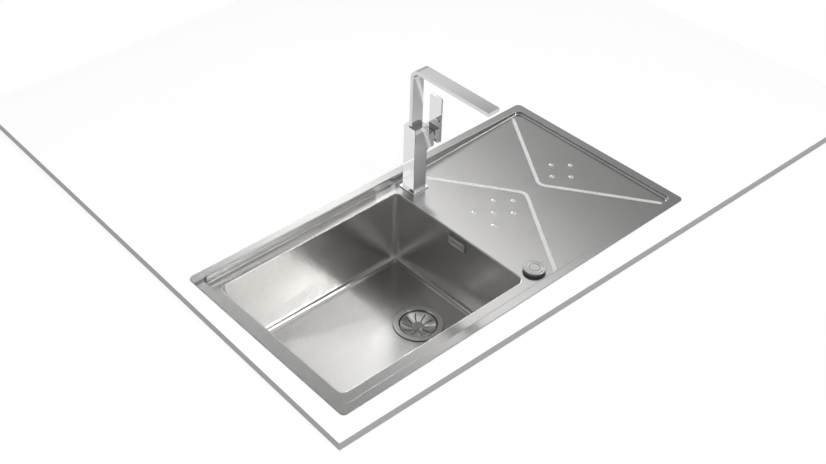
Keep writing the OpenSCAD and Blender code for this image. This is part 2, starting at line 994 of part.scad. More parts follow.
module lifter_drum() {
    color("gainsboro")
        translate([shaft_x, boss_end - cover_wall - drum_gap / 2, drain_z + shaft_z])
            rotate([90, 0, 0])
                difference() {
                    cylinder(h = drum_t, r = drum_r);
                    translate([0, 0, -over])
                        cylinder(h = drum_t + 2 * over, r = shaft_r);
                    translate([0, 0, drum_t / 2])
                        rotate_extrude()
                            translate([drum_r, 0])
                                circle(groove_cut);
                }
}

// Box round the drum, with the gland where the control cable enters
module lifter_cover() {
    r_in = drum_r + drum_gap;
    room = drum_t + drum_gap;
    mid = cover_wall + room / 2;
    run = r_in + gland_l;
    color("whitesmoke")
        translate([shaft_x, boss_end, drain_z + shaft_z])
            rotate([90, 0, 0])
                difference() {
                    union() {
                        cylinder(h = room + 2 * cover_wall, r = r_in + cover_wall);
                        translate([0, drum_r, mid])
                            rotate([0, 90, 0])
                                cylinder(h = run, r = gland_r);
                    }
                    translate([0, 0, cover_wall])
                        cylinder(h = room, r = r_in);
                    translate([0, 0, -over])
                        cylinder(h = cover_wall + 2 * over, r = shaft_r + fit);
                    translate([0, drum_r, mid])
                        rotate([0, 90, 0])
                            cylinder(h = run + over, r = cable_r);
                }
}

// Plate over the overflow hole: a water slot above a sunken panel, with two clip legs
module overflow_plate() {
    leg_l = sheet_t + overflow_seal_t + plastic_t;
    panel_w = plate_w - 2 * frame_edge;
    slot_low = wall_hole_h / 2 - overflow_slot_h;
    panel_low = frame_edge - plate_h / 2;
    color("silver")
        translate([bowl_right, bowl_y, plate_z]) {
            difference() {
                translate([-plate_t, 0, 0])
                    rotate([90, 0, 90])
                        linear_extrude(plate_t)
                            rounded(plate_w, plate_h, plate_corner_r);
                translate([-plate_t - over, -wall_hole_w / 2, slot_low])
                    cube([plate_t + 2 * over, wall_hole_w, overflow_slot_h]);
                translate([-plate_t - over, -panel_w / 2, panel_low])
                    cube([panel_sink + over, panel_w, slot_low - panel_gap - panel_low]);
            }
            for (side = [-1, 1])
                translate([0, side * (wall_hole_w / 2 - leg_w) - leg_w / 2, gap - wall_hole_h / 2])
                    cube([leg_l, leg_w, leg_t]);
        }
}

module overflow_seal() {
    color("black")
        translate([bowl_right + sheet_t, bowl_y, plate_z])
            rotate([90, 0, 90])
                difference() {
                    linear_extrude(overflow_seal_t)
                        rounded(elbow_w, elbow_h, plate_corner_r);
                    translate([0, 0, -over])
                        linear_extrude(overflow_seal_t + 2 * over)
                            square([wall_hole_w, wall_hole_h], center = true);
                }
}

module overflow_elbow() {
    color("whitesmoke")
        difference() {
            union() {
                translate([elbow_x, bowl_y, plate_z])
                    rotate([90, 0, 90])
                        linear_extrude(elbow_d)
                            rounded(elbow_w, elbow_h, plate_corner_r);
                translate([pipe_x, bowl_y, spigot_z])
                    cylinder(h = spigot_l + elbow_h / 2, r = port_r);
            }
            translate([elbow_x + plastic_t, bowl_y - elbow_w / 2 + plastic_t,
                    plate_z - elbow_h / 2 + plastic_t])
                cube([elbow_d - 2 * plastic_t, elbow_w - 2 * plastic_t, elbow_h - 2 * plastic_t]);
            translate([elbow_x - over, bowl_y - wall_hole_w / 2, plate_z - wall_hole_h / 2])
                cube([plastic_t + 2 * over, wall_hole_w, wall_hole_h]);
            translate([pipe_x, bowl_y, spigot_z - over])
                cylinder(h = socket_depth + over, r = pipe_r + fit);
            translate([pipe_x, bowl_y, spigot_z])
                cylinder(h = spigot_l + 2 * plastic_t, r = pipe_r - pipe_wall);
        }
}

// Pipe down from the overflow and across to the waste
module overflow_pipe() {
    end_x = port_end - socket_depth;
    top = spigot_z + socket_depth;
    in_r = pipe_r - pipe_wall;
    color("whitesmoke")
        translate([0, bowl_y, 0]) {
            translate([pipe_x, 0, pipe_low_z + pipe_bend_r])
                tube(pipe_r, in_r, top - pipe_low_z - pipe_bend_r);
            translate([pipe_x - pipe_bend_r, 0, pipe_low_z + pipe_bend_r])
                rotate([-90, 0, 0])
                    rotate_extrude(angle = 90)
                        translate([pipe_bend_r, 0])
                            difference() {
                                circle(pipe_r);
                                circle(in_r);
                            }
            translate([end_x, 0, pipe_low_z])
                rotate([0, 90, 0])
                    tube(pipe_r, in_r, pipe_x - pipe_bend_r - end_x);
        }
}

// Ring nut with grip ribs, over a port's end
module ring_nut() {
    out_r = port_r + nut_t;
    color("gainsboro")
        difference() {
            union() {
                cylinder(h = nut_h, r = out_r);
                for (i = [0 : nut_ribs - 1])
                    rotate((i + 0.5) * 360 / nut_ribs)
                        translate([out_r - nut_rib, -nut_rib, 0])
                            cube([2 * nut_rib, 2 * nut_rib, nut_h]);
            }
            translate([0, 0, -over])
                cylinder(h = nut_h + 2 * over, r = pipe_r + fit);
            translate([0, 0, plastic_t])
                cylinder(h = nut_h, r = port_r + fit);
        }
}

module overflow_nut_top() {
    translate([pipe_x, bowl_y, spigot_z - plastic_t])
        ring_nut();
}

module overflow_nut_low() {
    translate([port_end + plastic_t, bowl_y, pipe_low_z])
        rotate([0, -90, 0])
            ring_nut();
}

module knob_seal() {
    color("black")
        at_knob(deck_z)
            tube(knob_base_r - knob_seal_edge, knob_hole_r, knob_seal_t);
}

module knob_base() {
    color("dimgray")
        at_knob(knob_base_z)
            difference() {
                union() {
                    cylinder(h = knob_base_h, r = knob_base_r);
                    translate([0, 0, -sleeve_l])
                        cylinder(h = sleeve_l + over, r = sleeve_r);
                }
                translate([0, 0, -sleeve_l - over])
                    cylinder(h = sleeve_l + knob_base_h + 2 * over, r = spindle_r + fit);
            }
}

// Turned cap with a sunken middle and a pointer notch in its edge
module knob() {
    color("silver")
        at_knob(knob_z)
            difference() {
                rotate_extrude()
                    polygon([
                        [0, 0], [knob_r - knob_edge_r, 0], [knob_r, knob_edge_r],
                        [knob_r, knob_t - knob_edge_r], [knob_r - knob_edge_r, knob_t],
                        [knob_dish_r + knob_dish, knob_t], [knob_dish_r, knob_t - knob_dish],
                        [0, knob_t - knob_dish]
                    ]);
                rotate(pointer_turn)
                    translate([knob_r - pointer_l, -pointer_w / 2, knob_t - knob_dish])
                        cube([pointer_l + over, pointer_w, knob_t]);
            }
}

module knob_spindle() {
    low = sleeve_low - cable_drum_h - housing_wall;
    color("gainsboro")
        at_knob(low)
            cylinder(h = knob_z - low, r = spindle_r);
}

module knob_nut() {
    color("gainsboro")
        at_knob(deck_z - sheet_t - knob_nut_h)
            difference() {
                cylinder(h = knob_nut_h, r = knob_nut_r, $fn = 6);
                translate([0, 0, -over])
                    cylinder(h = knob_nut_h + 2 * over, r = sleeve_r + fit);
            }
}

module cable_drum() {
    color("gainsboro")
        at_knob(sleeve_low - cable_drum_h - gap)
            difference() {
                cylinder(h = cable_drum_h, r = cable_drum_r);
                translate([0, 0, -over])
                    cylinder(h = cable_drum_h + 2 * over, r = spindle_r);
                translate([0, 0, cable_drum_h / 2])
                    rotate_extrude()
                        translate([cable_drum_r, 0])
                            circle(groove_cut);
            }
}

// Cup round the cable drum, screwed on the sleeve, with the gland for the control cable
module cable_housing() {
    gland_z = sleeve_low - gap - cable_drum_h / 2 - housing_low;
    run = housing_r + gland_l;
    color("whitesmoke")
        at_knob(housing_low)
            difference() {
                union() {
                    cylinder(h = housing_h, r = housing_r);
                    translate([cable_drum_r, 0, gland_z])
                        rotate([-90, 0, 0])
                            cylinder(h = run, r = gland_r);
                }
                translate([0, 0, housing_wall])
                    cylinder(h = housing_h - 2 * housing_wall - housing_lap,
                        r = housing_r - housing_wall);
                translate([0, 0, housing_wall])
                    cylinder(h = housing_h, r = sleeve_r + fit);
                translate([cable_drum_r, 0, gland_z])
                    rotate([-90, 0, 0])
                        cylinder(h = run + over, r = cable_r);
            }
}

module tap_gasket() {
    color("black")
        at_tap(deck_z)
            difference() {
                prism(base_w - 2 * tap_gasket_edge, base_w - 2 * tap_gasket_edge, plate_edge_r,
                    0, tap_gasket_t);
                translate([0, 0, -over])
                    cylinder(h = tap_gasket_t + 2 * over, r = tap_hole_r);
            }
}

module tap_base_plate() {
    color("gainsboro")
        at_tap(base_z)
            difference() {
                prism(base_w, base_w, plate_edge_r, 0, base_t);
                translate([0, 0, -over])
                    cylinder(h = base_t + 2 * over, r = base_hole_r);
            }
}

// Two threaded inlets with their channels to the cartridge, and the channel up to the spout
module waterways() {
    for (side = [-1, 1])
        at_tap(column_z) {
            translate([0, side * inlet_y, shank_lap])
                cylinder(h = inlet_l, r = inlet_r);
            translate([0, side * inlet_y, shank_lap])
                cylinder(h = arm_axis_z - port_hole_off / 2 - column_z - shank_lap, r = channel_r);
        }
    at_tap(arm_axis_z + port_hole_off)
        cylinder(h = column_top - spigot_h - arm_axis_z - port_hole_off, r = channel_r);
    on_arm(tap_x)
        for (i = [0 : 2])
            rotate(180 + i * 120)
                translate([port_hole_off, 0, 0])
                    cylinder(h = arm_end - bore_depth + over - tap_x, r = port_hole_r);
}

// Side arm with the fillet under it, drawn from the front
module arm_profile() {
    half = column_w / 2;
    translate([0, -half])
        square([half + arm_l, column_w]);
    difference() {
        translate([0, -half - arm_fillet_r])
            square([half + arm_fillet_r, arm_fillet_r + over]);
        translate([half + arm_fillet_r, -half - arm_fillet_r])
            circle(arm_fillet_r);
    }
}

module tap_column() {
    color("gainsboro")
        difference() {
            union() {
                at_tap(column_z)
                    prism(column_w, column_w, column_edge_r, 0, column_h);
                translate([tap_x, tap_y + column_w / 2, arm_axis_z])
                    rotate([90, 0, 0])
                        linear_extrude(column_w)
                            arm_profile();
            }
            at_tap(column_top - spigot_h - over)
                cylinder(h = spigot_h + 2 * over, r = spigot_r + fit);
            at_tap(column_top - disc_t)
                cylinder(h = disc_t + over, r = disc_r + fit);
            at_tap(column_z - over)
                cylinder(h = shank_lap + over, r = shank_r + fit);
            on_arm(arm_end - bore_depth)
                cylinder(h = bore_depth + over, r = bore_r);
            waterways();
            at_tap(column_top - lock_drop)
                rotate([-90, 0, 0])
                    cylinder(h = column_w, r = lock_r);
        }
}

module tap_shank() {
    color("goldenrod")
        at_tap(base_z - shank_l)
            tube(shank_r, shank_in_r, shank_l + base_t + shank_lap);
}

module shank_seal() {
    color("black")
        at_tap(deck_z - sheet_t - shank_seal_t)
            tube(washer_r, shank_r + gap, shank_seal_t);
}

// Horseshoe plate, open on one side so that it slides round the hoses
module shank_washer() {
    color("gray")
        at_tap(deck_z - sheet_t - shank_seal_t - washer_t)
            difference() {
                tube(washer_r, shank_r + gap, washer_t);
                translate([0, -shank_in_r, -over])
                    cube([2 * washer_r, 2 * shank_in_r, washer_t + 2 * over]);
            }
}

module shank_nut() {
    color("goldenrod")
        at_tap(deck_z - sheet_t - shank_seal_t - washer_t - shank_nut_h)
            difference() {
                cylinder(h = shank_nut_h, r = nut_across_r, $fn = 6);
                translate([0, 0, -over])
                    cylinder(h = shank_nut_h + 2 * over, r = shank_r + fit);
            }
}

// Path of the flat spout seen from the side, shrunk by a wall
module spout_profile(wall, foot) {
    half = spout_t / 2;
    bend_y = half - spout_bend_r;
    bend_z = spout_h - spout_bend_r;
    translate([-half + wall, foot])
        square([spout_t - 2 * wall, bend_z - foot]);
    translate([bend_y, bend_z])
        intersection() {
            difference() {
                circle(spout_bend_r - wall);
                circle(spout_bend_r - spout_t + wall);
            }
            square(spout_bend_r);
        }
    translate([-spout_reach + wall, spout_h - spout_t + wall])
        square([spout_reach - wall + bend_y, spout_t - 2 * wall]);
}

module spout() {
    color("gainsboro")
        at_tap(column_top)
            difference() {
                union() {
                    translate([-spout_w / 2, 0, 0])
                        rotate([90, 0, 90])
                            linear_extrude(spout_w)
                                spout_profile(0, gap);
                    translate([0, 0, -spigot_h])
                        cylinder(h = spigot_h + spout_wall, r = spout_t / 2);
                    translate([0, 0, -spigot_h])
                        cylinder(h = spigot_h, r = spigot_r);
                    translate([0, 0, gap - disc_t])
                        cylinder(h = disc_t - gap, r = disc_r);
                }
                translate([spout_wall - spout_w / 2, 0, 0])
                    rotate([90, 0, 90])
                        linear_extrude(spout_w - 2 * spout_wall)
                            spout_profile(spout_wall, spout_wall);
                translate([0, 0, -spigot_h - over])
                    cylinder(h = spigot_h + spout_wall + 2 * over, r = spout_t / 2 - spout_wall);
                translate([0, aerator_back - spout_reach, spout_h - spout_t - over])
                    cylinder(h = aerator_h + over, r = aerator_r);
                for (drop = oring_drops)
                    translate([0, 0, -drop])
                        rotate_extrude()
                            translate([spigot_r - 2 * oring_r, -oring_r])
                                square([2 * oring_r + over, 2 * oring_r]);
                translate([0, 0, -lock_drop - lock_r - gap])
                    rotate(90 - lock_angle)
                        rotate_extrude(angle = 2 * lock_angle)
                            translate([spigot_r - lock_groove, 0])
                                square([lock_groove + over, 2 * lock_r + 2 * gap]);
            }
}

module spout_seals() {
    color("black")
        for (drop = oring_drops)
            at_tap(column_top - drop)
                rotate_extrude()
                    translate([spigot_r - oring_r + fit / 2, 0])
                        circle(oring_r - fit / 2);
}

module spout_lock_screw() {
    color("gray")
        at_tap(column_top - lock_drop)
            rotate([-90, 0, 0])
                translate([0, 0, spigot_r - lock_groove + gap])
                    cylinder(h = lock_l, r = lock_r - fit);
}

module aerator() {
    color("whitesmoke")
        at_tap(column_top + spout_h - spout_t)
            translate([0, aerator_back - spout_reach, 0])
                difference() {
                    cylinder(h = aerator_h - fit, r = aerator_r - fit);
                    for (ring = aerator_rings, i = [0 : ring[0] - 1])
                        rotate(i * 360 / ring[0])
                            translate([ring[1] * aerator_r, 0, -over])
                                cylinder(h = aerator_h + 2 * over, r = aerator_hole_r, $fn = 16);
                }
}

module cartridge() {
    color("whitesmoke")
        on_arm(arm_end - nut_ring_t - cartridge_l)
            difference() {
                cylinder(h = cartridge_l, r = cartridge_r);
                translate([0, 0, cartridge_l - carrier_l - carrier_play])
                    cylinder(h = carrier_l + carrier_play + over, r = carrier_r + fit);
                for (i = [0 : 2])
                    rotate(180 + i * 120)
                        translate([port_hole_off, 0, -over])
                            cylinder(h = cartridge_l, r = port_hole_r);
            }
}

module cartridge_nut() {
    color("dimgray")
        on_arm(arm_end - nut_ring_t)
            tube(bore_r - fit, nut_in_r, nut_ring_t);
}

// Turning core of the cartridge, slotted for the stem
module mixer_carrier() {
    color("gainsboro")
        on_arm(arm_end - nut_ring_t - carrier_l)
            difference() {
                cylinder(h = carrier_l - gap, r = carrier_r);
                translate([-carrier_slot / 2, -stem_w / 2 - gap, carrier_floor])
                    cube([carrier_slot, stem_w + 2 * gap, carrier_l]);
                translate([0, carrier_r + over, nut_ring_t + carrier_l - pivot_back])
                    rotate([90, 0, 0])
                        cylinder(h = 2 * carrier_r + 2 * over, r = pin_r);
            }
}

module lever_pin() {
    color("gray")
        translate([pivot_x, tap_y + carrier_r - pin_short, arm_axis_z])
            rotate([90, 0, 0])
                cylinder(h = 2 * (carrier_r - pin_short), r = pin_r - fit / 2);
}

module lever() {
    high = column_w;
    color("gainsboro")
        difference() {
            translate([0, tap_y + column_w / 2, hub_z])
                rotate([90, 0, 0])
                    linear_extrude(column_w)
                        polygon([
                            [hub_x + hub_cut, 0], [plate_x + lever_t, 0],
                            [plate_x + lever_t, lever_h], [plate_x, lever_h], [plate_x, high],
                            [hub_x, high], [hub_x, hub_cut_h]
                        ]);
            translate([hub_x - over, tap_y - stem_w / 2 - fit, arm_axis_z - stem_w / 2 - fit])
                cube([stem_end - hub_x + over, stem_w + 2 * fit, stem_w + 2 * fit]);
            translate([lever_screw_x, tap_y, hub_z - over])
                cylinder(h = column_w / 2, r = lever_screw_r);
        }
}

module lever_stem() {
    color("gray")
        difference() {
            translate([pivot_x - stem_in, tap_y - stem_w / 2, arm_axis_z - stem_w / 2])
                cube([stem_end - pivot_x + stem_in, stem_w, stem_w]);
            translate([pivot_x, tap_y + stem_w, arm_axis_z])
                rotate([90, 0, 0])
                    cylinder(h = 2 * stem_w, r = pin_r + fit);
        }
}

module lever_screw() {
    color("gray")
        translate([lever_screw_x, tap_y, arm_axis_z - stem_w / 2 - lever_screw_l])
            cylinder(h = lever_screw_l, r = lever_screw_r - fit);
}

module lever_screw_cap() {
    color("dimgray")
        translate([lever_screw_x, tap_y, hub_z])
            cylinder(h = lever_cap_h, r = lever_screw_r - fit);
}

sink_deck();
bowl();
rim_seal();
clip_brackets();
clip_claws();
clip_screws();
sound_pads();
flange_seal();
waste_flange();
waste_seal();
waste_body();
strainer();
strainer_cap();
strainer_seal();
strainer_stem();
lifter_shaft();
lifter_drum();
lifter_cover();
overflow_plate();
overflow_seal();
overflow_elbow();
overflow_pipe();
overflow_nut_top();
overflow_nut_low();
knob();
knob_base();
knob_seal();
knob_spindle();
knob_nut();
cable_drum();
cable_housing();
tap_base_plate();
tap_gasket();
tap_column();
tap_shank();
shank_seal();
shank_washer();
shank_nut();
spout();
spout_seals();
spout_lock_screw();
aerator();
cartridge();
cartridge_nut();
mixer_carrier();
lever_pin();
lever();
lever_stem();
lever_screw();
lever_screw_cap();
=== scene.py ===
"""Looks of the inset kitchen sink: sheet steel with grain, chrome tap, studio and camera."""
import math

import bpy
from mathutils import Matrix, Vector
from mathutils.geometry import delaunay_2d_cdt


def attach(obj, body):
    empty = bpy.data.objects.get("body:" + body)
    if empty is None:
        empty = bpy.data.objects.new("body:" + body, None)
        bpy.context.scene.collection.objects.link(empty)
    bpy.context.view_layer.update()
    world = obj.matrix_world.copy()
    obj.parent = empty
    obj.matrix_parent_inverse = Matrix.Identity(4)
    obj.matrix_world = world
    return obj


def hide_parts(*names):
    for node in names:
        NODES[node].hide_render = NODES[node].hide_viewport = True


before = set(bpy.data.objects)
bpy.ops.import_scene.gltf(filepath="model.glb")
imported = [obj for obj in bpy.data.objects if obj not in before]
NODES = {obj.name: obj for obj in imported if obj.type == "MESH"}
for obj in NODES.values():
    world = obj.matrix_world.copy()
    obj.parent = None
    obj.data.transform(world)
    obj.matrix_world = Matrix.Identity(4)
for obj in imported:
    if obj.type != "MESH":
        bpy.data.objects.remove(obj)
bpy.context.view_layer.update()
SCENE = bpy.context.scene
MM = 0.001

# Sizes of the sheet steel in mm, as in the CAD source, apart from the dots, which are wider here
SHEET = 1.0
RIM = (500.0, 255.0, 11.0)  # half length, half width and corner radius, as in the next two
RECESS = (478.5, 233.5, 14.0)
BOWL = (250.0, 200.0, 15.0)
BOWL_AT = (-202.5, 5.0)
RIM_Z = 2.0
RIM_EDGE = 0.6
RIM_BEND = 2.5
FOOT = 3.0
DECK_Z = -19.0
FOLD_X = 118.0
FOLD_HALF = 12.0
RISE = 14.0 / (RECESS[0] - FOLD_X)
BOWL_BEND = 3.0
FLOOR_Z = -219.0
DRAIN_Z = -223.0
DRAIN_AT = (-62.5, 5.0)
DRAIN_FLAT = 61.0
DRAIN_HOLE = 45.5
TAP_AT = (92.0, 195.0)
TAP_HOLE = 17.5
KNOB_AT = (87.5, -188.5)
KNOB_HOLE = 14.5
GROOVE_HALF = 3.5
GROOVE_DEPTH = 0.9
GROOVE_ANGLE = math.radians(57)
GROOVE_TIP_R = 22.0
LEFT_TIP = 147.0
RIGHT_TIP = 190.0
GROOVE_END = 9.0
DOT_HALF = 4.6
DOT_H = 1.3
DOT_PITCH = 31.0
LEFT_DOTS = 13.5
RIGHT_DOTS = RIGHT_TIP + 45.0
LEFT_STEPS = ((0, 1), (0, -1), (2, 1), (2, -1), (1, 0), (3, 0))
RIGHT_STEPS = ((0, 0), (1, 1), (1, -1), (2, 0))
COS_SLOPE = math.cos(math.atan(RISE))


# Node materials
class Nodes:
    """A node tree, built one node at a time."""

    def __init__(self, tree):
        self.tree = tree
        self.tree.nodes.clear()

    def add(self, kind, inputs=None, out=0, **settings):
        """One output of a new node; an input is a socket to link or a value."""
        node = self.tree.nodes.new("ShaderNode" + kind)
        for key, value in settings.items():
            setattr(node, key, value)
        for key, value in (inputs or {}).items():
            if isinstance(value, bpy.types.NodeSocket):
                self.tree.links.new(value, node.inputs[key])
            else:
                node.inputs[key].default_value = value
        return node.outputs[out]

    def math(self, operation, *values, clamp=False):
        return self.add("Math", dict(enumerate(values)), operation=operation, use_clamp=clamp)

    def vector(self, operation, *values):
        out = 1 if operation in ("LENGTH", "DOT_PRODUCT") else 0
        return self.add("VectorMath", dict(enumerate(values)), out, operation=operation)

    def scaled(self, vector, factor):
        return self.add("VectorMath", {0: vector, 3: factor}, operation="SCALE")

    def split(self, vector):
        node = self.add("SeparateXYZ", {0: vector}).node
        return node.outputs[0], node.outputs[1], node.outputs[2]

    def join(self, x, y, z):
        return self.add("CombineXYZ", {0: x, 1: y, 2: z})

    def noise(self, vector, scale=1.0, detail=2.0):
        return self.add("TexNoise", {"Vector": vector, "Scale": scale, "Detail": detail})

    def mix(self, share, first, second):
        return self.add("Mix", {0: share, 2: first, 3: second})

    def ramp(self, value, low, high, to_low=0.0, to_high=1.0, smooth=True):
        kind = "SMOOTHSTEP" if smooth else "LINEAR"
        return self.add("MapRange", {0: value, 1: low, 2: high, 3: to_low, 4: to_high},
                        interpolation_type=kind)

    def stops(self, value, table):
        """Value looked up in a table of (place, level), with straight runs between the places."""
        low, high = table[0][0], table[-1][0]
        top = max(level for _, level in table)
        node = self.add("ValToRGB", {0: self.ramp(value, low, high, smooth=False)}).node
        elements = node.color_ramp.elements
        while len(elements) < len(table):
            elements.new(0.5)
        for element, (place, level) in zip(elements, table):
            element.position = (place - low) / (high - low)
            element.color = (level / top, level / top, level / top, 1.0)
        return self.math("MULTIPLY", node.outputs[0], top)

    def shade(self, colour, factor):
        """The colour, made lighter or darker by a factor near 1."""
        node = self.add("Mix", data_type="RGBA", blend_type="MULTIPLY").node
        node.inputs[0].default_value = 1.0
        node.inputs[6].default_value = (*colour, 1.0)
        self.tree.links.new(self.join(factor, factor, factor), node.inputs[7])
        return node.outputs[2]


class Finish(Nodes):
    """A node material with a name."""

    def __init__(self, name):
        self.material = bpy.data.materials.new(name)
        self.material.use_nodes = True
        super().__init__(self.material.node_tree)

    def surface(self, shader):
        """The material, with the shader as its surface."""
        node = self.tree.nodes.new("ShaderNodeOutputMaterial")
        self.tree.links.new(shader, node.inputs["Surface"])
        return self.material


# Noise per metre along the grain and across it
GRAIN_ALONG = 5.0
GRAIN_ACROSS = 800.0
# The same for turned pieces: round the axis, away from it and along it
ROUND_ALONG = 1.5
ROUND_ACROSS = 900.0
ROUND_UP = 700.0
GRAIN_DETAIL = 3.0
WALL_FROM = 0.7  # part of the normal along X from which a face counts as a side wall
FLAT_TO_WALL = (0.97, 0.85)  # upward part of the normal while a face turns from flat to wall
BUMP_HEIGHT = 0.0002


def coordinates(f, centre=None):
    """Object coordinates in metres, from a centre given in mm if there is one."""
    here = f.add("TexCoord").node.outputs["Object"]
    if centre is None:
        return here
    return f.vector("SUBTRACT", here, tuple(c * MM for c in centre))


def straight_grain(f, turned=False):
    """Grain value and the direction across it: along X, or Y if turned, and level on the walls."""
    here = coordinates(f)
    nx, _, nz = f.split(f.add("TexCoord").node.outputs["Normal"])
    stretch_x = f.vector("MULTIPLY", here, (GRAIN_ALONG, GRAIN_ACROSS, GRAIN_ACROSS))
    stretch_y = f.vector("MULTIPLY", here, (GRAIN_ACROSS, GRAIN_ALONG, GRAIN_ACROSS))
    along_x = f.noise(stretch_x, detail=GRAIN_DETAIL)
    along_y = f.noise(stretch_y, detail=GRAIN_DETAIL)
    side = f.math("GREATER_THAN", f.math("ABSOLUTE", nx), WALL_FROM)
    level = f.ramp(f.math("ABSOLUTE", nz), *FLAT_TO_WALL)
    if turned:
        side = f.math("MAXIMUM", side, f.math("SUBTRACT", 1.0, level))
    grain = f.mix(side, along_x, along_y)
    geometry = f.add("NewGeometry").node.outputs["Normal"]
    wall = f.scaled(f.vector("CROSS_PRODUCT", geometry, (0.0, 0.0, 1.0)), level)
    run = (0.0, 1.0, 0.0) if turned else (1.0, 0.0, 0.0)
    flat = f.scaled(run, f.math("SUBTRACT", 1.0, level))
    along = f.vector("ADD", wall, flat)
    return grain, f.vector("CROSS_PRODUCT", geometry, along)


def round_grain(f, centre):
    """Grain value and the direction across it: grain runs in circles round an upright axis."""
    here = coordinates(f, centre)
    x, y, z = f.split(here)
    flat = f.join(x, y, 0.0)
    radius = f.vector("LENGTH", flat)
    turn = f.scaled(f.vector("NORMALIZE", flat), ROUND_ALONG)
    tx, ty, _ = f.split(turn)
    rings = f.math("ADD", f.math("MULTIPLY", radius, ROUND_ACROSS),
                   f.math("MULTIPLY", z, ROUND_UP))
    grain = f.noise(f.join(tx, ty, rings), detail=GRAIN_DETAIL)
    world = f.add("VectorTransform", {0: flat}, vector_type="VECTOR",
                  convert_from="OBJECT", convert_to="WORLD")
    geometry = f.add("NewGeometry").node.outputs["Normal"]
    along = f.vector("CROSS_PRODUCT", (0.0, 0.0, 1.0), world)
    return grain, f.vector("CROSS_PRODUCT", geometry, along)


# Tones. Each makes a factor for the colour of a metal from the place on the piece; most are painted
# light and shade. Tables hold (place in mm, level)
RING_SHADE_TONE = 0.22
TO_FRONT = (-0.5, -0.9)  # Y part of the normal while a face turns to look forward
FOOT_SHADE_TONES = ((219.0, 1.0), (221.0, 0.88), (223.5, 0.66), (225.5, 0.5), (227.5, 0.42),
              (230.0, 0.5), (232.0, 0.6), (234.5, 1.0))
FOOT_SHADE_SHARES = ((-360.0, 1.0), (-300.0, 0.85), (-200.0, 0.35), (-120.0, 0.0))
PLATE_SHADOW_TONES = ((0.0, 0.3), (0.7, 0.3), (1.0, 1.0), (6.0, 1.0))


def from_axis(f, centre):
    """Distance from an upright axis, in metres."""
    flat = f.vector("MULTIPLY", coordinates(f, centre), (1.0, 1.0, 0.0))
    return f.vector("LENGTH", flat)


def in_metres(table):
    """The table with its places turned from mm into metres."""
    return [(place * MM, level) for place, level in table]


def shade_past_radius(centre, clean, dark):
    """Painted shade that sets in between two radii, in mm."""
    def tone(f):
        return f.ramp(from_axis(f, centre), clean * MM, dark * MM, 1.0, RING_SHADE_TONE)
    return tone


def at_radius(centre, middle, half, depth):
    """Darker ring at a radius, in mm."""
    def tone(f):
        away = f.math("ABSOLUTE", f.math("SUBTRACT", from_axis(f, centre), middle * MM))
        return f.ramp(away, half * MM / 2, half * MM, depth, 1.0)
    return tone


def along_x(*table):
    """Painted light and shade: levels at places along X, in mm."""
    def tone(f):
        x, _, _ = f.split(coordinates(f))
        return f.stops(x, in_metres(table))
    return tone


def shade_on_front(*table):
    """Painted light and shade: levels at heights in mm, on the faces that look along -Y."""
    def tone(f):
        _, facing, _ = f.split(f.add("TexCoord").node.outputs["Normal"])
        _, _, z = f.split(coordinates(f))
        share = f.ramp(facing, *TO_FRONT)
        return f.mix(share, 1.0, f.stops(z, in_metres(table)))
    return tone


def recess_foot_shade(f):
    """Painted shade: a soft dark line at the foot of the recess's back wall, strongest at the left.
    """
    x, y, _ = f.split(coordinates(f))
    share = f.stops(x, in_metres(FOOT_SHADE_SHARES))
    return f.mix(share, 1.0, f.stops(y, in_metres(FOOT_SHADE_TONES)))


def plate_shadow_gap(f):
    """Painted shadow in the gap round the overflow plate, a fixed distance inside its box."""
    box = NODES["overflow_plate"].bound_box
    low, high = Vector(box[0]), Vector(box[6])
    half = (high - low) / 2
    offset = f.vector("SUBTRACT", coordinates(f), tuple((low + high) / 2))
    _, y, z = f.split(f.vector("ABSOLUTE", offset))
    inside = f.math("MINIMUM", f.math("SUBTRACT", half.y, y), f.math("SUBTRACT", half.z, z))
    return f.stops(inside, in_metres(PLATE_SHADOW_TONES))


GRAIN_LIGHT = 0.025  # share by which the grain changes the light
SPECK_LIGHT = 0.02  # the same for metal without grain
SMUDGES = 14.0
SPECKS = 900.0


def metal(name, colour, rough, grain=None, centre=None, anisotropy=0.0, depth=0.05,
          smudge=0.015, wear=0.0, metallic=1.0, uneven=0.02, tones=()):
    """Metal with grain, faint smudges, slightly brighter worn places and its tones, mostly painted
    light and shade.
    """
    f = Finish(name)
    here = coordinates(f)
    cloud = f.noise(here, scale=SMUDGES, detail=4.0)
    fine = f.noise(here, scale=SPECKS)
    across = None
    if grain in ("straight", "turned"):
        fine, across = straight_grain(f, grain == "turned")
    elif grain == "round":
        fine, across = round_grain(f, centre)
    streak = f.math("SUBTRACT", fine, 0.5)
    blot = f.math("SUBTRACT", cloud, 0.5)
    roughness = f.math("ADD", f.math("MULTIPLY", streak, uneven),
                       f.math("MULTIPLY", blot, smudge))
    roughness = f.math("ADD", roughness, rough, clamp=True)
    streak_light = f.math("MULTIPLY", streak, GRAIN_LIGHT if grain else SPECK_LIGHT)
    light = f.math("ADD", 1.0 - wear / 2, streak_light)
    light = f.math("ADD", light, f.math("MULTIPLY", blot, wear))
    for tone in tones:
        light = f.math("MULTIPLY", light, tone(f))
    bump = f.add("Bump", {"Strength": depth, "Distance": BUMP_HEIGHT, "Height": fine})
    inputs = {"Base Color": f.shade(colour, light), "Metallic": metallic,
              "Roughness": roughness, "Normal": bump, "Anisotropic": anisotropy}
    if across is not None:
        inputs["Tangent"] = across
    return f.surface(f.add("BsdfPrincipled", inputs))


CLOUD = (0.2, 0.8)  # range of the noise that is spread over a change
DULL_CLOUDS = 22.0
DULL_CHANGE = 0.06


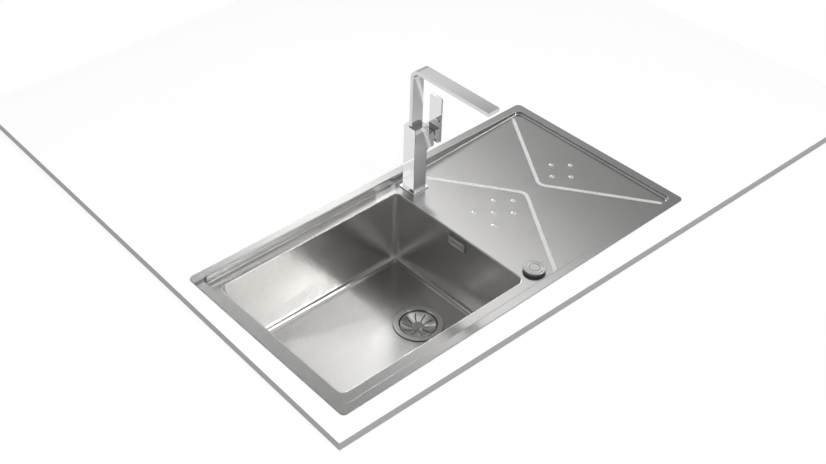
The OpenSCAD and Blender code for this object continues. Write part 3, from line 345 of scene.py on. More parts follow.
def dull(name, colour, rough, grain_size=2500.0, depth=0.15, change=0.10):
    """Moulded plastic, rubber, foam or pad, with a fine skin and uneven colour."""
    f = Finish(name)
    here = coordinates(f)
    skin = f.noise(here, scale=grain_size)
    cloud = f.noise(here, scale=DULL_CLOUDS, detail=3.0)
    light = f.ramp(cloud, *CLOUD, 1.0 - change, 1.0 + change / 2, smooth=False)
    roughness = f.ramp(cloud, *CLOUD, rough - DULL_CHANGE, rough + DULL_CHANGE, smooth=False)
    bump = f.add("Bump", {"Strength": depth, "Distance": BUMP_HEIGHT, "Height": skin})
    return f.surface(f.add("BsdfPrincipled", {
        "Base Color": f.shade(colour, light), "Roughness": roughness, "Normal": bump}))


# The metals and the dull materials
STEEL = (0.45, 0.446, 0.44)
WALL = (0.56, 0.555, 0.55)
DRAIN_STEEL = (0.90, 0.895, 0.885)
CHROME = (0.86, 0.865, 0.875)
DRAIN_AXIS = (*DRAIN_AT, 0.0)
KNOB_AXIS = (*KNOB_AT, 0.0)
# Deck steel, with painted shade along the foot of the recess's back wall
deck_steel = metal("deck_steel", STEEL, 0.22, "straight", anisotropy=0.75, depth=0.002,
                   smudge=0.001, uneven=0.004, tones=[recess_foot_shade])
# Flange: painted shade on its rounded outer edge and at its throat
flange_steel = metal("flange_steel", DRAIN_STEEL, 0.20, "round", DRAIN_AXIS, depth=0.01,
                     metallic=0.85, tones=[shade_past_radius(DRAIN_AXIS, 57.2, 58.2),
                                           shade_past_radius(DRAIN_AXIS, 45.2, 44.0)])
# Recess wall and its rounded foot: painted light and shade along X, lightest at the wall's left end
# and the foot's right end
wall_steel = metal("wall_steel", WALL, 0.24, "straight", anisotropy=0.6, depth=0.002,
                   smudge=0.001, uneven=0.004, tones=[along_x(
                       (-480.0, 1.75), (-420.0, 1.72), (-300.0, 1.3), (-150.0, 0.72),
                       (100.0, 0.70), (180.0, 0.95), (480.0, 1.0))])
foot_steel = metal("foot_steel", WALL, 0.24, "straight", anisotropy=0.6, depth=0.002,
                   smudge=0.001, uneven=0.004, tones=[along_x(
                       (-480.0, 0.95), (-300.0, 0.85), (-180.0, 0.8), (-100.0, 0.9),
                       (100.0, 0.85), (200.0, 1.3), (480.0, 1.5))])
# Dots and grooves: lighter copies of the deck steel, painted light that makes them show as bright
# bumps and bands
dot_steel_lit = metal("dot_steel_lit", (0.85, 0.845, 0.84), 0.13, depth=0.005)
groove_steel_lit = metal("groove_steel_lit", (0.95, 0.945, 0.94), 0.46, "straight", depth=0.008)
# Bowl: painted shade, darker low down on the faces that look along -Y
bowl_steel = metal("bowl_steel", (0.88, 0.873, 0.855), 0.23, "turned", anisotropy=0.15,
                   depth=0.002, smudge=0.006, tones=[shade_on_front(
                       (-205.0, 1.0), (-200.0, 0.82), (-170.0, 0.82), (-130.0, 0.93), (-20.0, 0.93))])
# Rim's outer side and its lower cut edge: dark grey, painted shade for the dark line between rim and
# worktop
lip_shade = metal("lip_shade", (0.22, 0.22, 0.22), 0.45, depth=0.2)
drain_steel = metal("drain_steel", DRAIN_STEEL, 0.18, "round", DRAIN_AXIS, depth=0.01,
                    metallic=0.9)
knob_steel = metal("knob_steel", (0.64, 0.635, 0.63), 0.26, "round", KNOB_AXIS,
                   anisotropy=0.7, depth=0.01, metallic=0.4,
                   tones=[at_radius(KNOB_AXIS, 11.5, 1.1, 0.35),
                          at_radius(KNOB_AXIS, 19.6, 0.9, 0.6)])
# Overflow plate, with a painted shadow round its edge
plate_steel = metal("plate_steel", (0.88, 0.875, 0.86), 0.24, "straight", anisotropy=0.4,
                    depth=0.01, metallic=0.75, tones=[plate_shadow_gap])
chrome = metal("chrome", CHROME, 0.045, smudge=0.03, depth=0.01)
# Column: painted reflection, darker towards its foot on the faces that look along -Y
column_chrome = metal("column_chrome", CHROME, 0.045, smudge=0.03, depth=0.01, tones=[shade_on_front(
    (-20.0, 0.42), (0.0, 0.45), (60.0, 0.74), (110.0, 1.0), (150.0, 0.92))])
# Spout: a darker copy of the chrome, painted shade
spout_chrome_shaded = metal("spout_chrome_shaded", (0.76, 0.764, 0.772), 0.045, smudge=0.03, depth=0.01)
brass = metal("brass", (0.72, 0.55, 0.27), 0.22, smudge=0.12, wear=0.12, depth=0.08)
zinc = metal("zinc", (0.56, 0.57, 0.58), 0.36, smudge=0.14, wear=0.14, depth=0.12)
screw_steel = metal("screw_steel", (0.58, 0.585, 0.59), 0.25, smudge=0.08, wear=0.08)
black_rubber = dull("black_rubber", (0.022, 0.022, 0.023), 0.62, depth=0.25, change=0.2)
grey_foam = dull("grey_foam", (0.12, 0.12, 0.125), 0.9, grain_size=1800.0, depth=0.6, change=0.2)
damping = dull("damping", (0.075, 0.078, 0.082), 0.8, grain_size=700.0, depth=0.5, change=0.25)
white_plastic = dull("white_plastic", (0.78, 0.78, 0.76), 0.38, depth=0.08, change=0.05)
grey_plastic = dull("grey_plastic", (0.16, 0.16, 0.165), 0.42, depth=0.12)
light_plastic = dull("light_plastic", (0.72, 0.72, 0.73), 0.35, depth=0.05)
acetal = dull("acetal", (0.70, 0.70, 0.68), 0.32, depth=0.06, change=0.05)


# Sheet steel meshes
class Shell:
    """A mesh of faces whose corners carry their own normals."""

    def __init__(self):
        self.index, self.points, self.faces, self.normals, self.slots = {}, [], [], [], []

    def vertex(self, p):
        """Index of the point, which is given in mm."""
        key = (round(p[0], 5), round(p[1], 5), round(p[2], 5))
        if key not in self.index:
            self.index[key] = len(self.points)
            self.points.append(tuple(c * MM for c in p))
        return self.index[key]

    def face(self, corners, slot=0):
        """One face of (point, normal) corners, without corners that fall together."""
        ids, normals = [], []
        for p, n in corners:
            i = self.vertex(p)
            if i not in ids:
                ids.append(i)
                normals.append(n)
        if len(ids) > 2:
            self.faces.append(ids)
            self.normals.append(normals)
            self.slots.append(slot)

    def band(self, outer, inner, slot=0):
        """Faces between two loops of (point, normal) with the same count."""
        count = len(outer)
        for i in range(count):
            j = (i + 1) % count
            self.face([outer[i], outer[j], inner[j], inner[i]], slot)

    def build(self, name, materials):
        mesh = bpy.data.meshes.new(name)
        mesh.from_pydata(self.points, [], self.faces)
        for material in materials:
            mesh.materials.append(material)
        mesh.polygons.foreach_set("material_index", self.slots)
        mesh.polygons.foreach_set("use_smooth", [True] * len(self.faces))
        mesh.normals_split_custom_set([tuple(n) for corner in self.normals for n in corner])
        mesh.update()
        obj = bpy.data.objects.new(name, mesh)
        SCENE.collection.objects.link(obj)
        return obj


CORNER_STEPS = 14


def spread(low, high, count):
    """Even stops from low to high, in count steps."""
    return [low + (high - low) * i / count for i in range(count + 1)]


def ring(centre, half, radius, x_stops, y_stops):
    """Points and outward directions round a rounded rectangle, anticlockwise from the front left."""
    cx, cy = centre
    sx, sy = half[0] - radius, half[1] - radius
    sides = (
        [((-sx + 2 * sx * s, -half[1]), (0.0, -1.0)) for s in x_stops],
        [((half[0], -sy + 2 * sy * s), (1.0, 0.0)) for s in y_stops],
        [((sx - 2 * sx * (1 - s), half[1]), (0.0, 1.0)) for s in reversed(x_stops)],
        [((-half[0], sy - 2 * sy * (1 - s)), (-1.0, 0.0)) for s in reversed(y_stops)],
    )
    corners = ((sx, -sy, -90), (sx, sy, 0), (-sx, sy, 90), (-sx, -sy, 180))
    made = []
    for side, (x, y, start) in zip(sides, corners):
        made += side
        for k in range(1, CORNER_STEPS):
            a = math.radians(start + 90 * k / CORNER_STEPS)
            made.append(((x + radius * math.cos(a), y + radius * math.sin(a)),
                         (math.cos(a), math.sin(a))))
    return [((x + cx, y + cy), out) for (x, y), out in made]


def fold_height(x):
    """Height of the plain deck and drainer at x. Both are shaded as level, for a soft fold."""
    start, end = FOLD_X - FOLD_HALF, FOLD_X + FOLD_HALF
    if x <= start:
        return DECK_Z
    if x >= end:
        return DECK_Z + RISE * (x - FOLD_X)
    run = (x - start) / (end - start)
    return DECK_Z + RISE * run * run * (end - start) / 2


def unit(x, y, z):
    length = math.sqrt(x * x + y * y + z * z)
    return (x / length, y / length, z / length)


# Stops along the recess: close together at the fold, and about 24 mm apart elsewhere
HALF_RUN = RECESS[0] - RECESS[2]
FOLD_STOPS = spread(FOLD_X - FOLD_HALF, FOLD_X + FOLD_HALF, 8)
LEFT_STOPS = spread(-HALF_RUN, FOLD_X - FOLD_HALF, 24)[:-1]
RIGHT_STOPS = spread(FOLD_X + FOLD_HALF, HALF_RUN, 14)[1:]
RECESS_STOPS_X = [(x + HALF_RUN) / (2 * HALF_RUN) for x in LEFT_STOPS + FOLD_STOPS + RIGHT_STOPS]
RECESS_STOPS_Y = spread(0.0, 1.0, 18)
BOWL_STOPS_X = spread(0.0, 1.0, 20)
BOWL_STOPS_Y = spread(0.0, 1.0, 16)


def grown(shape, by):
    """Half sizes and corner radius of a rounded rectangle that is grown all round."""
    return (shape[0] + by, shape[1] + by), shape[2] + by


def recess_ring(by):
    half, radius = grown(RECESS, by)
    return ring((0.0, 0.0), half, radius, RECESS_STOPS_X, RECESS_STOPS_Y)


def rim_ring(by):
    half, radius = grown(RIM, by)
    return ring((0.0, 0.0), half, radius, RECESS_STOPS_X, RECESS_STOPS_Y)


def bowl_ring(by):
    half, radius = grown(BOWL, by)
    return ring(BOWL_AT, half, radius, BOWL_STOPS_X, BOWL_STOPS_Y)


def level(points, z, out_part, up_part):
    """A loop at one height whose normals lean outward and up by the two parts."""
    return [((x, y, z), unit(ox * out_part, oy * out_part, up_part)) for (x, y), (ox, oy) in points]


ARM_STEPS = 18
TIP_STEPS = 10


def groove_path(tip, point):
    """Points along one V groove, from the end of its front arm round the tip to the back one."""
    back = GROOVE_TIP_R / math.sin(GROOVE_ANGLE)
    lean = math.pi / 2 - GROOVE_ANGLE
    centre = tip - point * back
    tip_y = GROOVE_TIP_R * math.sin(lean)
    path = []
    runs = [(RECESS[1] - side * BOWL_AT[1] - GROOVE_END - tip_y) / math.sin(GROOVE_ANGLE)
            for side in (-1, 1)]
    start_x = centre + point * GROOVE_TIP_R * math.cos(lean)
    for s in spread(runs[0], 0.0, ARM_STEPS)[:-1]:
        path.append((start_x - point * s * math.cos(GROOVE_ANGLE),
                     -tip_y - s * math.sin(GROOVE_ANGLE)))
    for a in spread(-lean, lean, TIP_STEPS):
        path.append((centre + point * GROOVE_TIP_R * math.cos(a), GROOVE_TIP_R * math.sin(a)))
    for s in spread(0.0, runs[1], ARM_STEPS)[1:]:
        path.append((start_x - point * s * math.cos(GROOVE_ANGLE),
                     tip_y + s * math.sin(GROOVE_ANGLE)))
    return path


GROOVES = [groove_path(LEFT_TIP, 1), groove_path(RIGHT_TIP, -1)]
DOTS = [(LEFT_DOTS + i * DOT_PITCH, j * DOT_PITCH) for i, j in LEFT_STEPS]
DOTS += [(RIGHT_DOTS + i * DOT_PITCH, j * DOT_PITCH) for i, j in RIGHT_STEPS]


def blended(depth, half, inner):
    """Round profile with a soft edge: its radius, how far its centre lies behind the plane, and
    where the edge starts, its height there and its length."""
    r = (half * half + depth * depth) / (2 * depth)
    drop = math.sqrt(r * r - inner * inner) - (r - depth)
    slope = inner / math.sqrt(r * r - inner * inner)
    return r, r - depth, inner, drop, 2 * drop / slope


# Distance from the middle at which the round form ends and the soft edge starts
GROOVE_ROUND = 2.9
DOT_ROUND = 3.5
GROOVE_FORM = blended(GROOVE_DEPTH, GROOVE_HALF, GROOVE_ROUND)
DOT_FORM = blended(DOT_H, DOT_HALF, DOT_ROUND)
GROOVE_SHADE = 0.08  # share of the grooves' slope that their shading shows
GROOVE_REACH = GROOVE_FORM[2] + GROOVE_FORM[4]
DOT_REACH = DOT_FORM[2] + DOT_FORM[4]
GROOVE_LOOPS = (0.8, 1.6, 2.3, GROOVE_ROUND, 3.3, 3.8, GROOVE_REACH)
DOT_LOOPS = (0.9, 1.8, 2.7, DOT_ROUND, 4.0, 4.5, DOT_REACH)
DOT_NEAR = 7.0  # a little more than the reach of a dot
SLOPE_STEP = 0.05
BOWL_SLACK = 0.02
HOLE_SLACK = 0.05
PRESSED_FROM = FOLD_X - 1.0
CAP_STEPS = 8
DOT_SIDES = 24
HOLE_SIDES = 40
FOLD_ROWS = 18
CLOSE = 1e-4
NO_AREA = 1e-9


def profile(form, d):
    """Height of a round profile at distance d from its middle."""
    r, down, inner, drop, length = form
    if d <= inner:
        return math.sqrt(r * r - d * d) - down
    if d >= inner + length:
        return 0.0
    return drop * ((inner + length - d) / length) ** 2


def path_distance(path, u, v):
    """Distance from (u, v) to the nearest place on a path of points."""
    best = math.inf
    for (ax, ay), (bx, by) in zip(path, path[1:]):
        dx, dy = bx - ax, by - ay
        t = max(0.0, min(1.0, ((u - ax) * dx + (v - ay) * dy) / (dx * dx + dy * dy)))
        best = min(best, (u - ax - t * dx) ** 2 + (v - ay - t * dy) ** 2)
    return math.sqrt(best)


def pressed(u, v):
    """Height of the grooves and dots over the drainer's plane."""
    for du, dv in DOTS:
        if abs(u - du) < DOT_NEAR and abs(v - dv) < DOT_NEAR:
            return profile(DOT_FORM, math.hypot(u - du, v - dv))
    near = min(path_distance(path, u, v) for path in GROOVES)
    return -profile(GROOVE_FORM, near)


def deck_point(x, y):
    """Point and normal of the deck's top face over (x, y)."""
    z = fold_height(x)
    u, v = (x - FOLD_X) / COS_SLOPE, y - BOWL_AT[1]
    if x < PRESSED_FROM:
        return (x, y, z), (0.0, 0.0, 1.0)
    here = pressed(u, v)
    step = SLOPE_STEP
    du = (pressed(u + step, v) - pressed(u - step, v)) / (2 * step)
    dv = (pressed(u, v + step) - pressed(u, v - step)) / (2 * step)
    soft = GROOVE_SHADE if here < 0 else 1.0
    return (x, y, z + here), unit(-du * soft, -dv * soft, 1.0)


def offset_loop(path, d):
    """Closed loop at distance d round a path, with round ends."""
    def turned(a, b, side):
        dx, dy = b[0] - a[0], b[1] - a[1]
        size = math.hypot(dx, dy)
        return -dy / size * side, dx / size * side

    def side_points(points, side):
        made = []
        for i, p in enumerate(points):
            a = points[max(i - 1, 0)]
            b = points[min(i + 1, len(points) - 1)]
            nx, ny = turned(a, b, side)
            made.append((p[0] + nx * d, p[1] + ny * d))
        return made

    def cap(end, before):
        dx, dy = end[0] - before[0], end[1] - before[1]
        a0 = math.atan2(dy, dx)
        return [(end[0] + d * math.cos(a0 + a), end[1] + d * math.sin(a0 + a))
                for a in spread(math.pi / 2, -math.pi / 2, CAP_STEPS)[1:-1]]

    left = side_points(path, 1)
    right = side_points(path, -1)
    return left + cap(path[-1], path[-2]) + right[::-1] + cap(path[0], path[1])


def circle(centre, radius, count):
    return [(centre[0] + radius * math.cos(2 * math.pi * i / count),
             centre[1] + radius * math.sin(2 * math.pi * i / count)) for i in range(count)]


def drainer(u, v):
    """Place over the deck of a point in the drainer's own plane."""
    return FOLD_X + u * COS_SLOPE, v + BOWL_AT[1]


def deck_triangles(outer, opening):
    """Triangles of the deck between its foot and the bowl, the tap hole and the knob hole."""
    points, edges = [], []

    def add_loop(loop, closed=True):
        first = len(points)
        points.extend(loop)
        count = len(loop)
        edges.extend((first + i, first + (i + 1) % count)
                     for i in range(count if closed else count - 1))

    add_loop(outer)
    add_loop(opening)
    half_width = RECESS[1] - FOOT
    for stop in FOLD_STOPS:
        rows = spread(-half_width, half_width, FOLD_ROWS)
        add_loop([(stop, y) for y in rows[1:-1]], closed=False)
    for path in GROOVES:
        add_loop([drainer(*p) for p in path], closed=False)
        for d in GROOVE_LOOPS:
            add_loop([drainer(*p) for p in offset_loop(path, d)])
    for dot in DOTS:
        points.append(drainer(*dot))
        for d in DOT_LOOPS:
            add_loop([drainer(*p) for p in circle(dot, d, DOT_SIDES)])
    add_loop(circle(TAP_AT, TAP_HOLE, HOLE_SIDES))
    add_loop(circle(KNOB_AT, KNOB_HOLE, HOLE_SIDES))
    found = delaunay_2d_cdt([Vector(p) for p in points], edges, [], 0, CLOSE, False)
    spots, triangles = found[0], found[2]
    bowl_half, bowl_radius = grown(BOWL, BOWL_BEND)

    def in_bowl(x, y):
        dx = abs(x - BOWL_AT[0]) - (bowl_half[0] - bowl_radius)
        dy = abs(y - BOWL_AT[1]) - (bowl_half[1] - bowl_radius)
        return math.hypot(max(dx, 0), max(dy, 0)) < bowl_radius - BOWL_SLACK

    kept = []
    for triangle in triangles:
        x = sum(spots[i].x for i in triangle) / 3
        y = sum(spots[i].y for i in triangle) / 3
        if in_bowl(x, y) or math.hypot(x - TAP_AT[0], y - TAP_AT[1]) < TAP_HOLE - HOLE_SLACK:
            continue
        if math.hypot(x - KNOB_AT[0], y - KNOB_AT[1]) < KNOB_HOLE - HOLE_SLACK:
            continue
        kept.append(triangle)
    return [tuple(s) for s in spots], kept


def under(loop):
    """The same loop, one sheet lower along its normals, facing the other way."""
    return [((p[0] - n[0] * SHEET, p[1] - n[1] * SHEET, p[2] - n[2] * SHEET),
             (-n[0], -n[1], -n[2])) for p, n in loop]


def both_sides(shell, loops, slots=None):
    """Bands of the top face and of the underside; slots gives the material of each band."""
    slots = slots or [0] * (len(loops) - 1)
    for a, b, slot in zip(loops, loops[1:], slots):
        shell.band(a, b, slot)
        shell.band(under(b), under(a), slot)


def edge_band(shell, loop, flip=False, slot=0):
    """The cut edge between the top face and the underside."""
    high, low = ([p for p, _ in line] for line in (loop, under(loop)))
    a, b = (low, high) if flip else (high, low)
    for i in range(len(a)):
        j = (i + 1) % len(a)
        n = (Vector(a[j]) - Vector(a[i])).cross(Vector(b[i]) - Vector(a[i]))
        if n.length > NO_AREA:
            n = tuple(n.normalized())
            shell.face([(a[i], n), (a[j], n), (b[j], n), (b[i], n)], slot)


def turns(*degrees):
    """Sine and cosine of each angle."""
    return [(math.sin(math.radians(a)), math.cos(math.radians(a))) for a in degrees]


# Material slots of the deck sheet
ON_FLAT, ON_LIP_SHADE, ON_GROOVE, ON_WALL, ON_DOT, ON_FOOT = range(6)


def make_deck():
    """Rim, recess, flat deck and drainboard: one sheet with its underside and its cut edges."""
    shell = Shell()
    loops, slots = [level(rim_ring(0.0), 0.0, 1.0, 0.0)], []
    loops.append(level(rim_ring(0.0), RIM_Z - RIM_EDGE, 1.0, 0.0))
    slots.append(ON_LIP_SHADE)
    for s, c in turns(30, 60, 90):
        loops.append(level(rim_ring(-RIM_EDGE * (1 - c)), RIM_Z - RIM_EDGE * (1 - s), c, s))
        slots.append(ON_FLAT)
    for s, c in turns(0, 15, 30, 45, 60, 75, 90):
        loops.append(level(recess_ring(RIM_BEND * (1 - s)), RIM_Z - RIM_BEND * (1 - c), -s, c))
        slots.append(ON_FLAT)
    for s, c in turns(0, 18, 36, 54, 72, 90):
        row = []
        for p, out in recess_ring(-FOOT * (1 - c)):
            n = (-out[0] * c, -out[1] * c, s)
            row.append(((p[0], p[1], fold_height(p[0]) + FOOT * (1 - s)), n))
        loops.append(row)
        slots.append(ON_FOOT if s else ON_WALL)
    both_sides(shell, loops, slots)
    edge_band(shell, loops[0], flip=True, slot=ON_LIP_SHADE)
    outer = [p for p, _ in recess_ring(-FOOT)]
    opening = [p for p, _ in bowl_ring(BOWL_BEND)]
    spots, triangles = deck_triangles(outer, opening)
    placed = [deck_point(x, y) for x, y in spots]
    lower = under(placed)
    for a, b, c in triangles:
        x, y = ((spots[a][i] + spots[b][i] + spots[c][i]) / 3 for i in (0, 1))
        u, v = (x - FOLD_X) / COS_SLOPE, y - BOWL_AT[1]
        in_groove = min(path_distance(path, u, v) for path in GROOVES) < GROOVE_REACH
        on_dot = min(math.hypot(u - du, v - dv) for du, dv in DOTS) < DOT_REACH
        slot = ON_GROOVE if in_groove else ON_DOT if on_dot else ON_FLAT
        shell.face([placed[a], placed[b], placed[c]], slot)
        shell.face([lower[c], lower[b], lower[a]])
    edge_band(shell, level(bowl_ring(BOWL_BEND), DECK_Z, 0.0, 1.0))
    return shell.build("sink_deck_sheet",
                       [deck_steel, lip_shade, groove_steel_lit, wall_steel, dot_steel_lit, foot_steel])


WALL_ROWS = 12
FOOT_ROWS = 10
FLOOR_SHARES = (1.0, 0.85, 0.7, 0.55, 0.4, 0.25, 0.12, 0.0)  # of the way from the waste


def make_bowl():
    """Bowl with a rounded foot, whose floor falls to the level ring round the waste."""
    shell = Shell()
    loops = []
    for s, c in turns(0, 15, 30, 45, 60, 75, 90):
        loops.append(level(bowl_ring(BOWL_BEND * (1 - s)), DECK_Z - BOWL_BEND * (1 - c), -s, c))
    radius = BOWL[2]
    start = DECK_Z - BOWL_BEND
    for z in spread(start, FLOOR_Z + radius, WALL_ROWS)[1:]:
        loops.append(level(bowl_ring(0.0), z, -1.0, 0.0))
    for s, c in turns(*spread(0, 90, FOOT_ROWS)[1:-1]):
        loops.append(level(bowl_ring(-radius * (1 - c)), FLOOR_Z + radius * (1 - s), -c, s))
    fall = FLOOR_Z - DRAIN_Z
    half = (BOWL[0] - radius, BOWL[1] - radius)
    for t in FLOOR_SHARES:
        flat = DRAIN_FLAT * (1 - t)
        centre = (BOWL_AT[0] * t + DRAIN_AT[0] * (1 - t), BOWL_AT[1] * t + DRAIN_AT[1] * (1 - t))
        row = []
        for (x, y), (ox, oy) in ring(centre, (half[0] * t + flat, half[1] * t + flat), flat,
                                     BOWL_STOPS_X, BOWL_STOPS_Y):
            run = ((BOWL_AT[0] - DRAIN_AT[0]) * ox + (BOWL_AT[1] - DRAIN_AT[1]) * oy
                   + half[0] * abs(ox) + half[1] * abs(oy) - DRAIN_FLAT)
            slope = fall / run
            row.append(((x, y, DRAIN_Z + fall * t), unit(-ox * slope, -oy * slope, 1.0)))
        loops.append(row)
    both_sides(shell, loops)
    ring_loop = []
    hole_loop = []
    for p, _ in loops[-1]:
        ring_loop.append((p, (0.0, 0.0, 1.0)))
        angle = math.atan2(p[1] - DRAIN_AT[1], p[0] - DRAIN_AT[0])
        hole_loop.append(((DRAIN_AT[0] + DRAIN_HOLE * math.cos(angle),
                           DRAIN_AT[1] + DRAIN_HOLE * math.sin(angle), DRAIN_Z), (0.0, 0.0, 1.0)))
    both_sides(shell, [ring_loop, hole_loop])
    edge_band(shell, hole_loop)
    edge_band(shell, loops[0], flip=True)
    return shell.build("bowl_shell", [bowl_steel])


deck = make_deck()
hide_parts("sink_deck")
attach(deck, "sink")
bowl = make_bowl()
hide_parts("bowl")
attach(bowl, "sink")

# CAD nodes that stay
FINISHES = {
    "rim_seal": grey_foam, "clip_brackets": zinc, "clip_claws": zinc, "clip_screws": screw_steel,
    "sound_pads": damping, "flange_seal": black_rubber, "waste_flange": flange_steel,
    "waste_seal": black_rubber, "waste_body": grey_plastic, "strainer": drain_steel,
    "strainer_cap": drain_steel, "strainer_seal": black_rubber, "strainer_stem": acetal,
    "lifter_shaft": screw_steel, "lifter_drum": acetal, "lifter_cover": white_plastic,
    "overflow_plate": plate_steel, "overflow_seal": black_rubber, "overflow_elbow": white_plastic,
    "overflow_pipe": white_plastic, "overflow_nut_top": white_plastic,
    "overflow_nut_low": white_plastic, "knob": knob_steel, "knob_base": light_plastic,
    "knob_seal": black_rubber, "knob_spindle": acetal, "knob_nut": zinc,
    "cable_drum": acetal, "cable_housing": white_plastic, "tap_base_plate": chrome,
    "tap_gasket": black_rubber, "tap_column": column_chrome, "tap_shank": brass,
    "shank_seal": black_rubber, "shank_washer": zinc, "shank_nut": brass, "spout": spout_chrome_shaded,
    "spout_seals": black_rubber, "spout_lock_screw": screw_steel, "aerator": grey_plastic,
    "cartridge": acetal, "cartridge_nut": brass, "mixer_carrier": acetal,
    "lever_pin": screw_steel, "lever": chrome, "lever_stem": screw_steel,
    "lever_screw": screw_steel, "lever_screw_cap": grey_plastic,
}
# Widths of the rounded edges in mm
EDGES = {"tap_column": 0.5, "spout": 0.45, "lever": 0.5, "tap_base_plate": 0.35,
         "overflow_plate": 0.3, "waste_flange": 0.12, "strainer": 0.12, "strainer_cap": 0.3,
         "waste_body": 0.4, "overflow_elbow": 0.4, "lifter_cover": 0.3, "cable_housing": 0.4,
         "clip_brackets": 0.2, "clip_claws": 0.2, "clip_screws": 0.2, "shank_nut": 0.3,
         "shank_washer": 0.2, "knob": 0.25, "knob_base": 0.2, "knob_nut": 0.3,
         "overflow_nut_top": 0.25, "overflow_nut_low": 0.25, "sound_pads": 0.4, "aerator": 0.15}
EDGE_PLAIN = 0.1
WELD = 1e-6
SHARP = math.radians(32)


def dress(obj, finish, edge_width):
    """Finish and rounded edges on a CAD node."""
    obj.data.materials.clear()
    obj.data.materials.append(finish)
    obj.data.polygons.foreach_set("use_smooth", [True] * len(obj.data.polygons))
    weld = obj.modifiers.new("weld", "WELD")
    weld.merge_threshold = WELD
    edge = obj.modifiers.new("edge", "BEVEL")
    edge.width = edge_width
    edge.segments = 2
    edge.limit_method = "ANGLE"
    edge.angle_limit = SHARP
    edge.use_clamp_overlap = True
    even = obj.modifiers.new("even", "WEIGHTED_NORMAL")
    even.keep_sharp = True
    even.weight = 100


for name, finish in FINISHES.items():
    dress(NODES[name], finish, EDGES.get(name, EDGE_PLAIN) * MM)


# Stage, with sizes in mm
SLAB_FAR = 1150.0
SLAB_CORNERS = [(-546.0, -299.0), (SLAB_FAR, -328.0), (SLAB_FAR, SLAB_FAR), (-525.5, SLAB_FAR)]
SLAB_T = 20.0
FLOOR_OUTER = (-1301.0, -558.0)  # front left corner of the floor
FLOOR_INNER = (-521.0, -294.0)  # and of the part under the board that is left open
FLOOR_Z_GAP = 0.5
MIRRORED = 0.75  # share of the board's own light that reflections see
CUTOUT = (490.0, 245.0, 12.0)
CUTOUT_SLACK = 1.0
STAGE_CLOUDS = 6.0
STAGE_CHANGE = 0.005


def stage_finish(name, colour, glow):
    """Pale board: its own light to the camera and in reflections, and the object's soft shadow."""
    f = Finish(name)
    here = coordinates(f)
    cloud = f.noise(here, scale=STAGE_CLOUDS)
    light = f.ramp(cloud, *CLOUD, 1.0 - STAGE_CHANGE, 1.0, smooth=False)
    lit = f.add("BsdfDiffuse", {"Color": f.shade(colour, light)})
    own = f.add("Emission", {"Color": (*glow, 1.0), "Strength": 1.0})
    path = f.add("LightPath").node
    dimmed = f.math("MULTIPLY", path.outputs["Is Glossy Ray"], MIRRORED)
    seen = f.math("MAXIMUM", path.outputs["Is Camera Ray"], dimmed)
    own = f.add("MixShader", {0: seen, 1: f.add("Emission", {"Strength": 0.0}), 2: own})
    return f.surface(f.add("AddShader", {0: lit, 1: own}))


board_top = stage_finish("board_top", (0.55, 0.55, 0.55), (0.62, 0.62, 0.62))
board_edge = stage_finish("board_edge", (0.30, 0.29, 0.295), (0.265, 0.25, 0.255))
floor_top = stage_finish("floor_top", (0.25, 0.25, 0.25), (0.86, 0.86, 0.86))


def make_board():
    """Worktop board with the sink's cutout."""
    shell = Shell()
    hole = [p for p, _ in ring((0.0, 0.0), CUTOUT[:2], CUTOUT[2], (0.0, 1.0), (0.0, 1.0))]
    points = SLAB_CORNERS + hole
    edges = [(i, (i + 1) % 4) for i in range(4)]
    edges += [(4 + i, 4 + (i + 1) % len(hole)) for i in range(len(hole))]
    found = delaunay_2d_cdt([Vector(p) for p in points], edges, [], 0, CLOSE, False)
    for triangle in found[2]:
        spots = [found[0][i] for i in triangle]
        x = sum(s.x for s in spots) / 3
        y = sum(s.y for s in spots) / 3
        if abs(x) < CUTOUT[0] - CUTOUT_SLACK and abs(y) < CUTOUT[1] - CUTOUT_SLACK:
            continue
        shell.face([((s.x, s.y, 0.0), (0, 0, 1)) for s in spots])
        shell.face([((s.x, s.y, -SLAB_T), (0, 0, -1)) for s in reversed(spots)], 1)
    for loop, flip in ((SLAB_CORNERS, 1), (hole, -1)):
        count = len(loop)
        for i in range(count):
            a, b = loop[i], loop[(i + 1) % count]
            n = unit(flip * (b[1] - a[1]), flip * (a[0] - b[0]), 0.0)
            corners = [((*a, -SLAB_T), n), ((*b, -SLAB_T), n), ((*b, 0.0), n), ((*a, 0.0), n)]
            shell.face(corners[::flip], 1)
    return shell.build("worktop_board", [board_top, board_edge])


def make_floor():
    """Thin pale floor at the board's underside, a little wider than the board in front and left."""
    shell = Shell()
    z = -SLAB_T - FLOOR_Z_GAP
    for x0, y0, x1, y1 in ((*FLOOR_OUTER, SLAB_FAR, FLOOR_INNER[1]),
                           (FLOOR_OUTER[0], FLOOR_INNER[1], FLOOR_INNER[0], SLAB_FAR)):
        shell.face([((x, y, z), (0, 0, 1)) for x, y in ((x0, y0), (x1, y0), (x1, y1), (x0, y1))])
    return shell.build("pale_floor", [floor_top])


make_board()
make_floor()


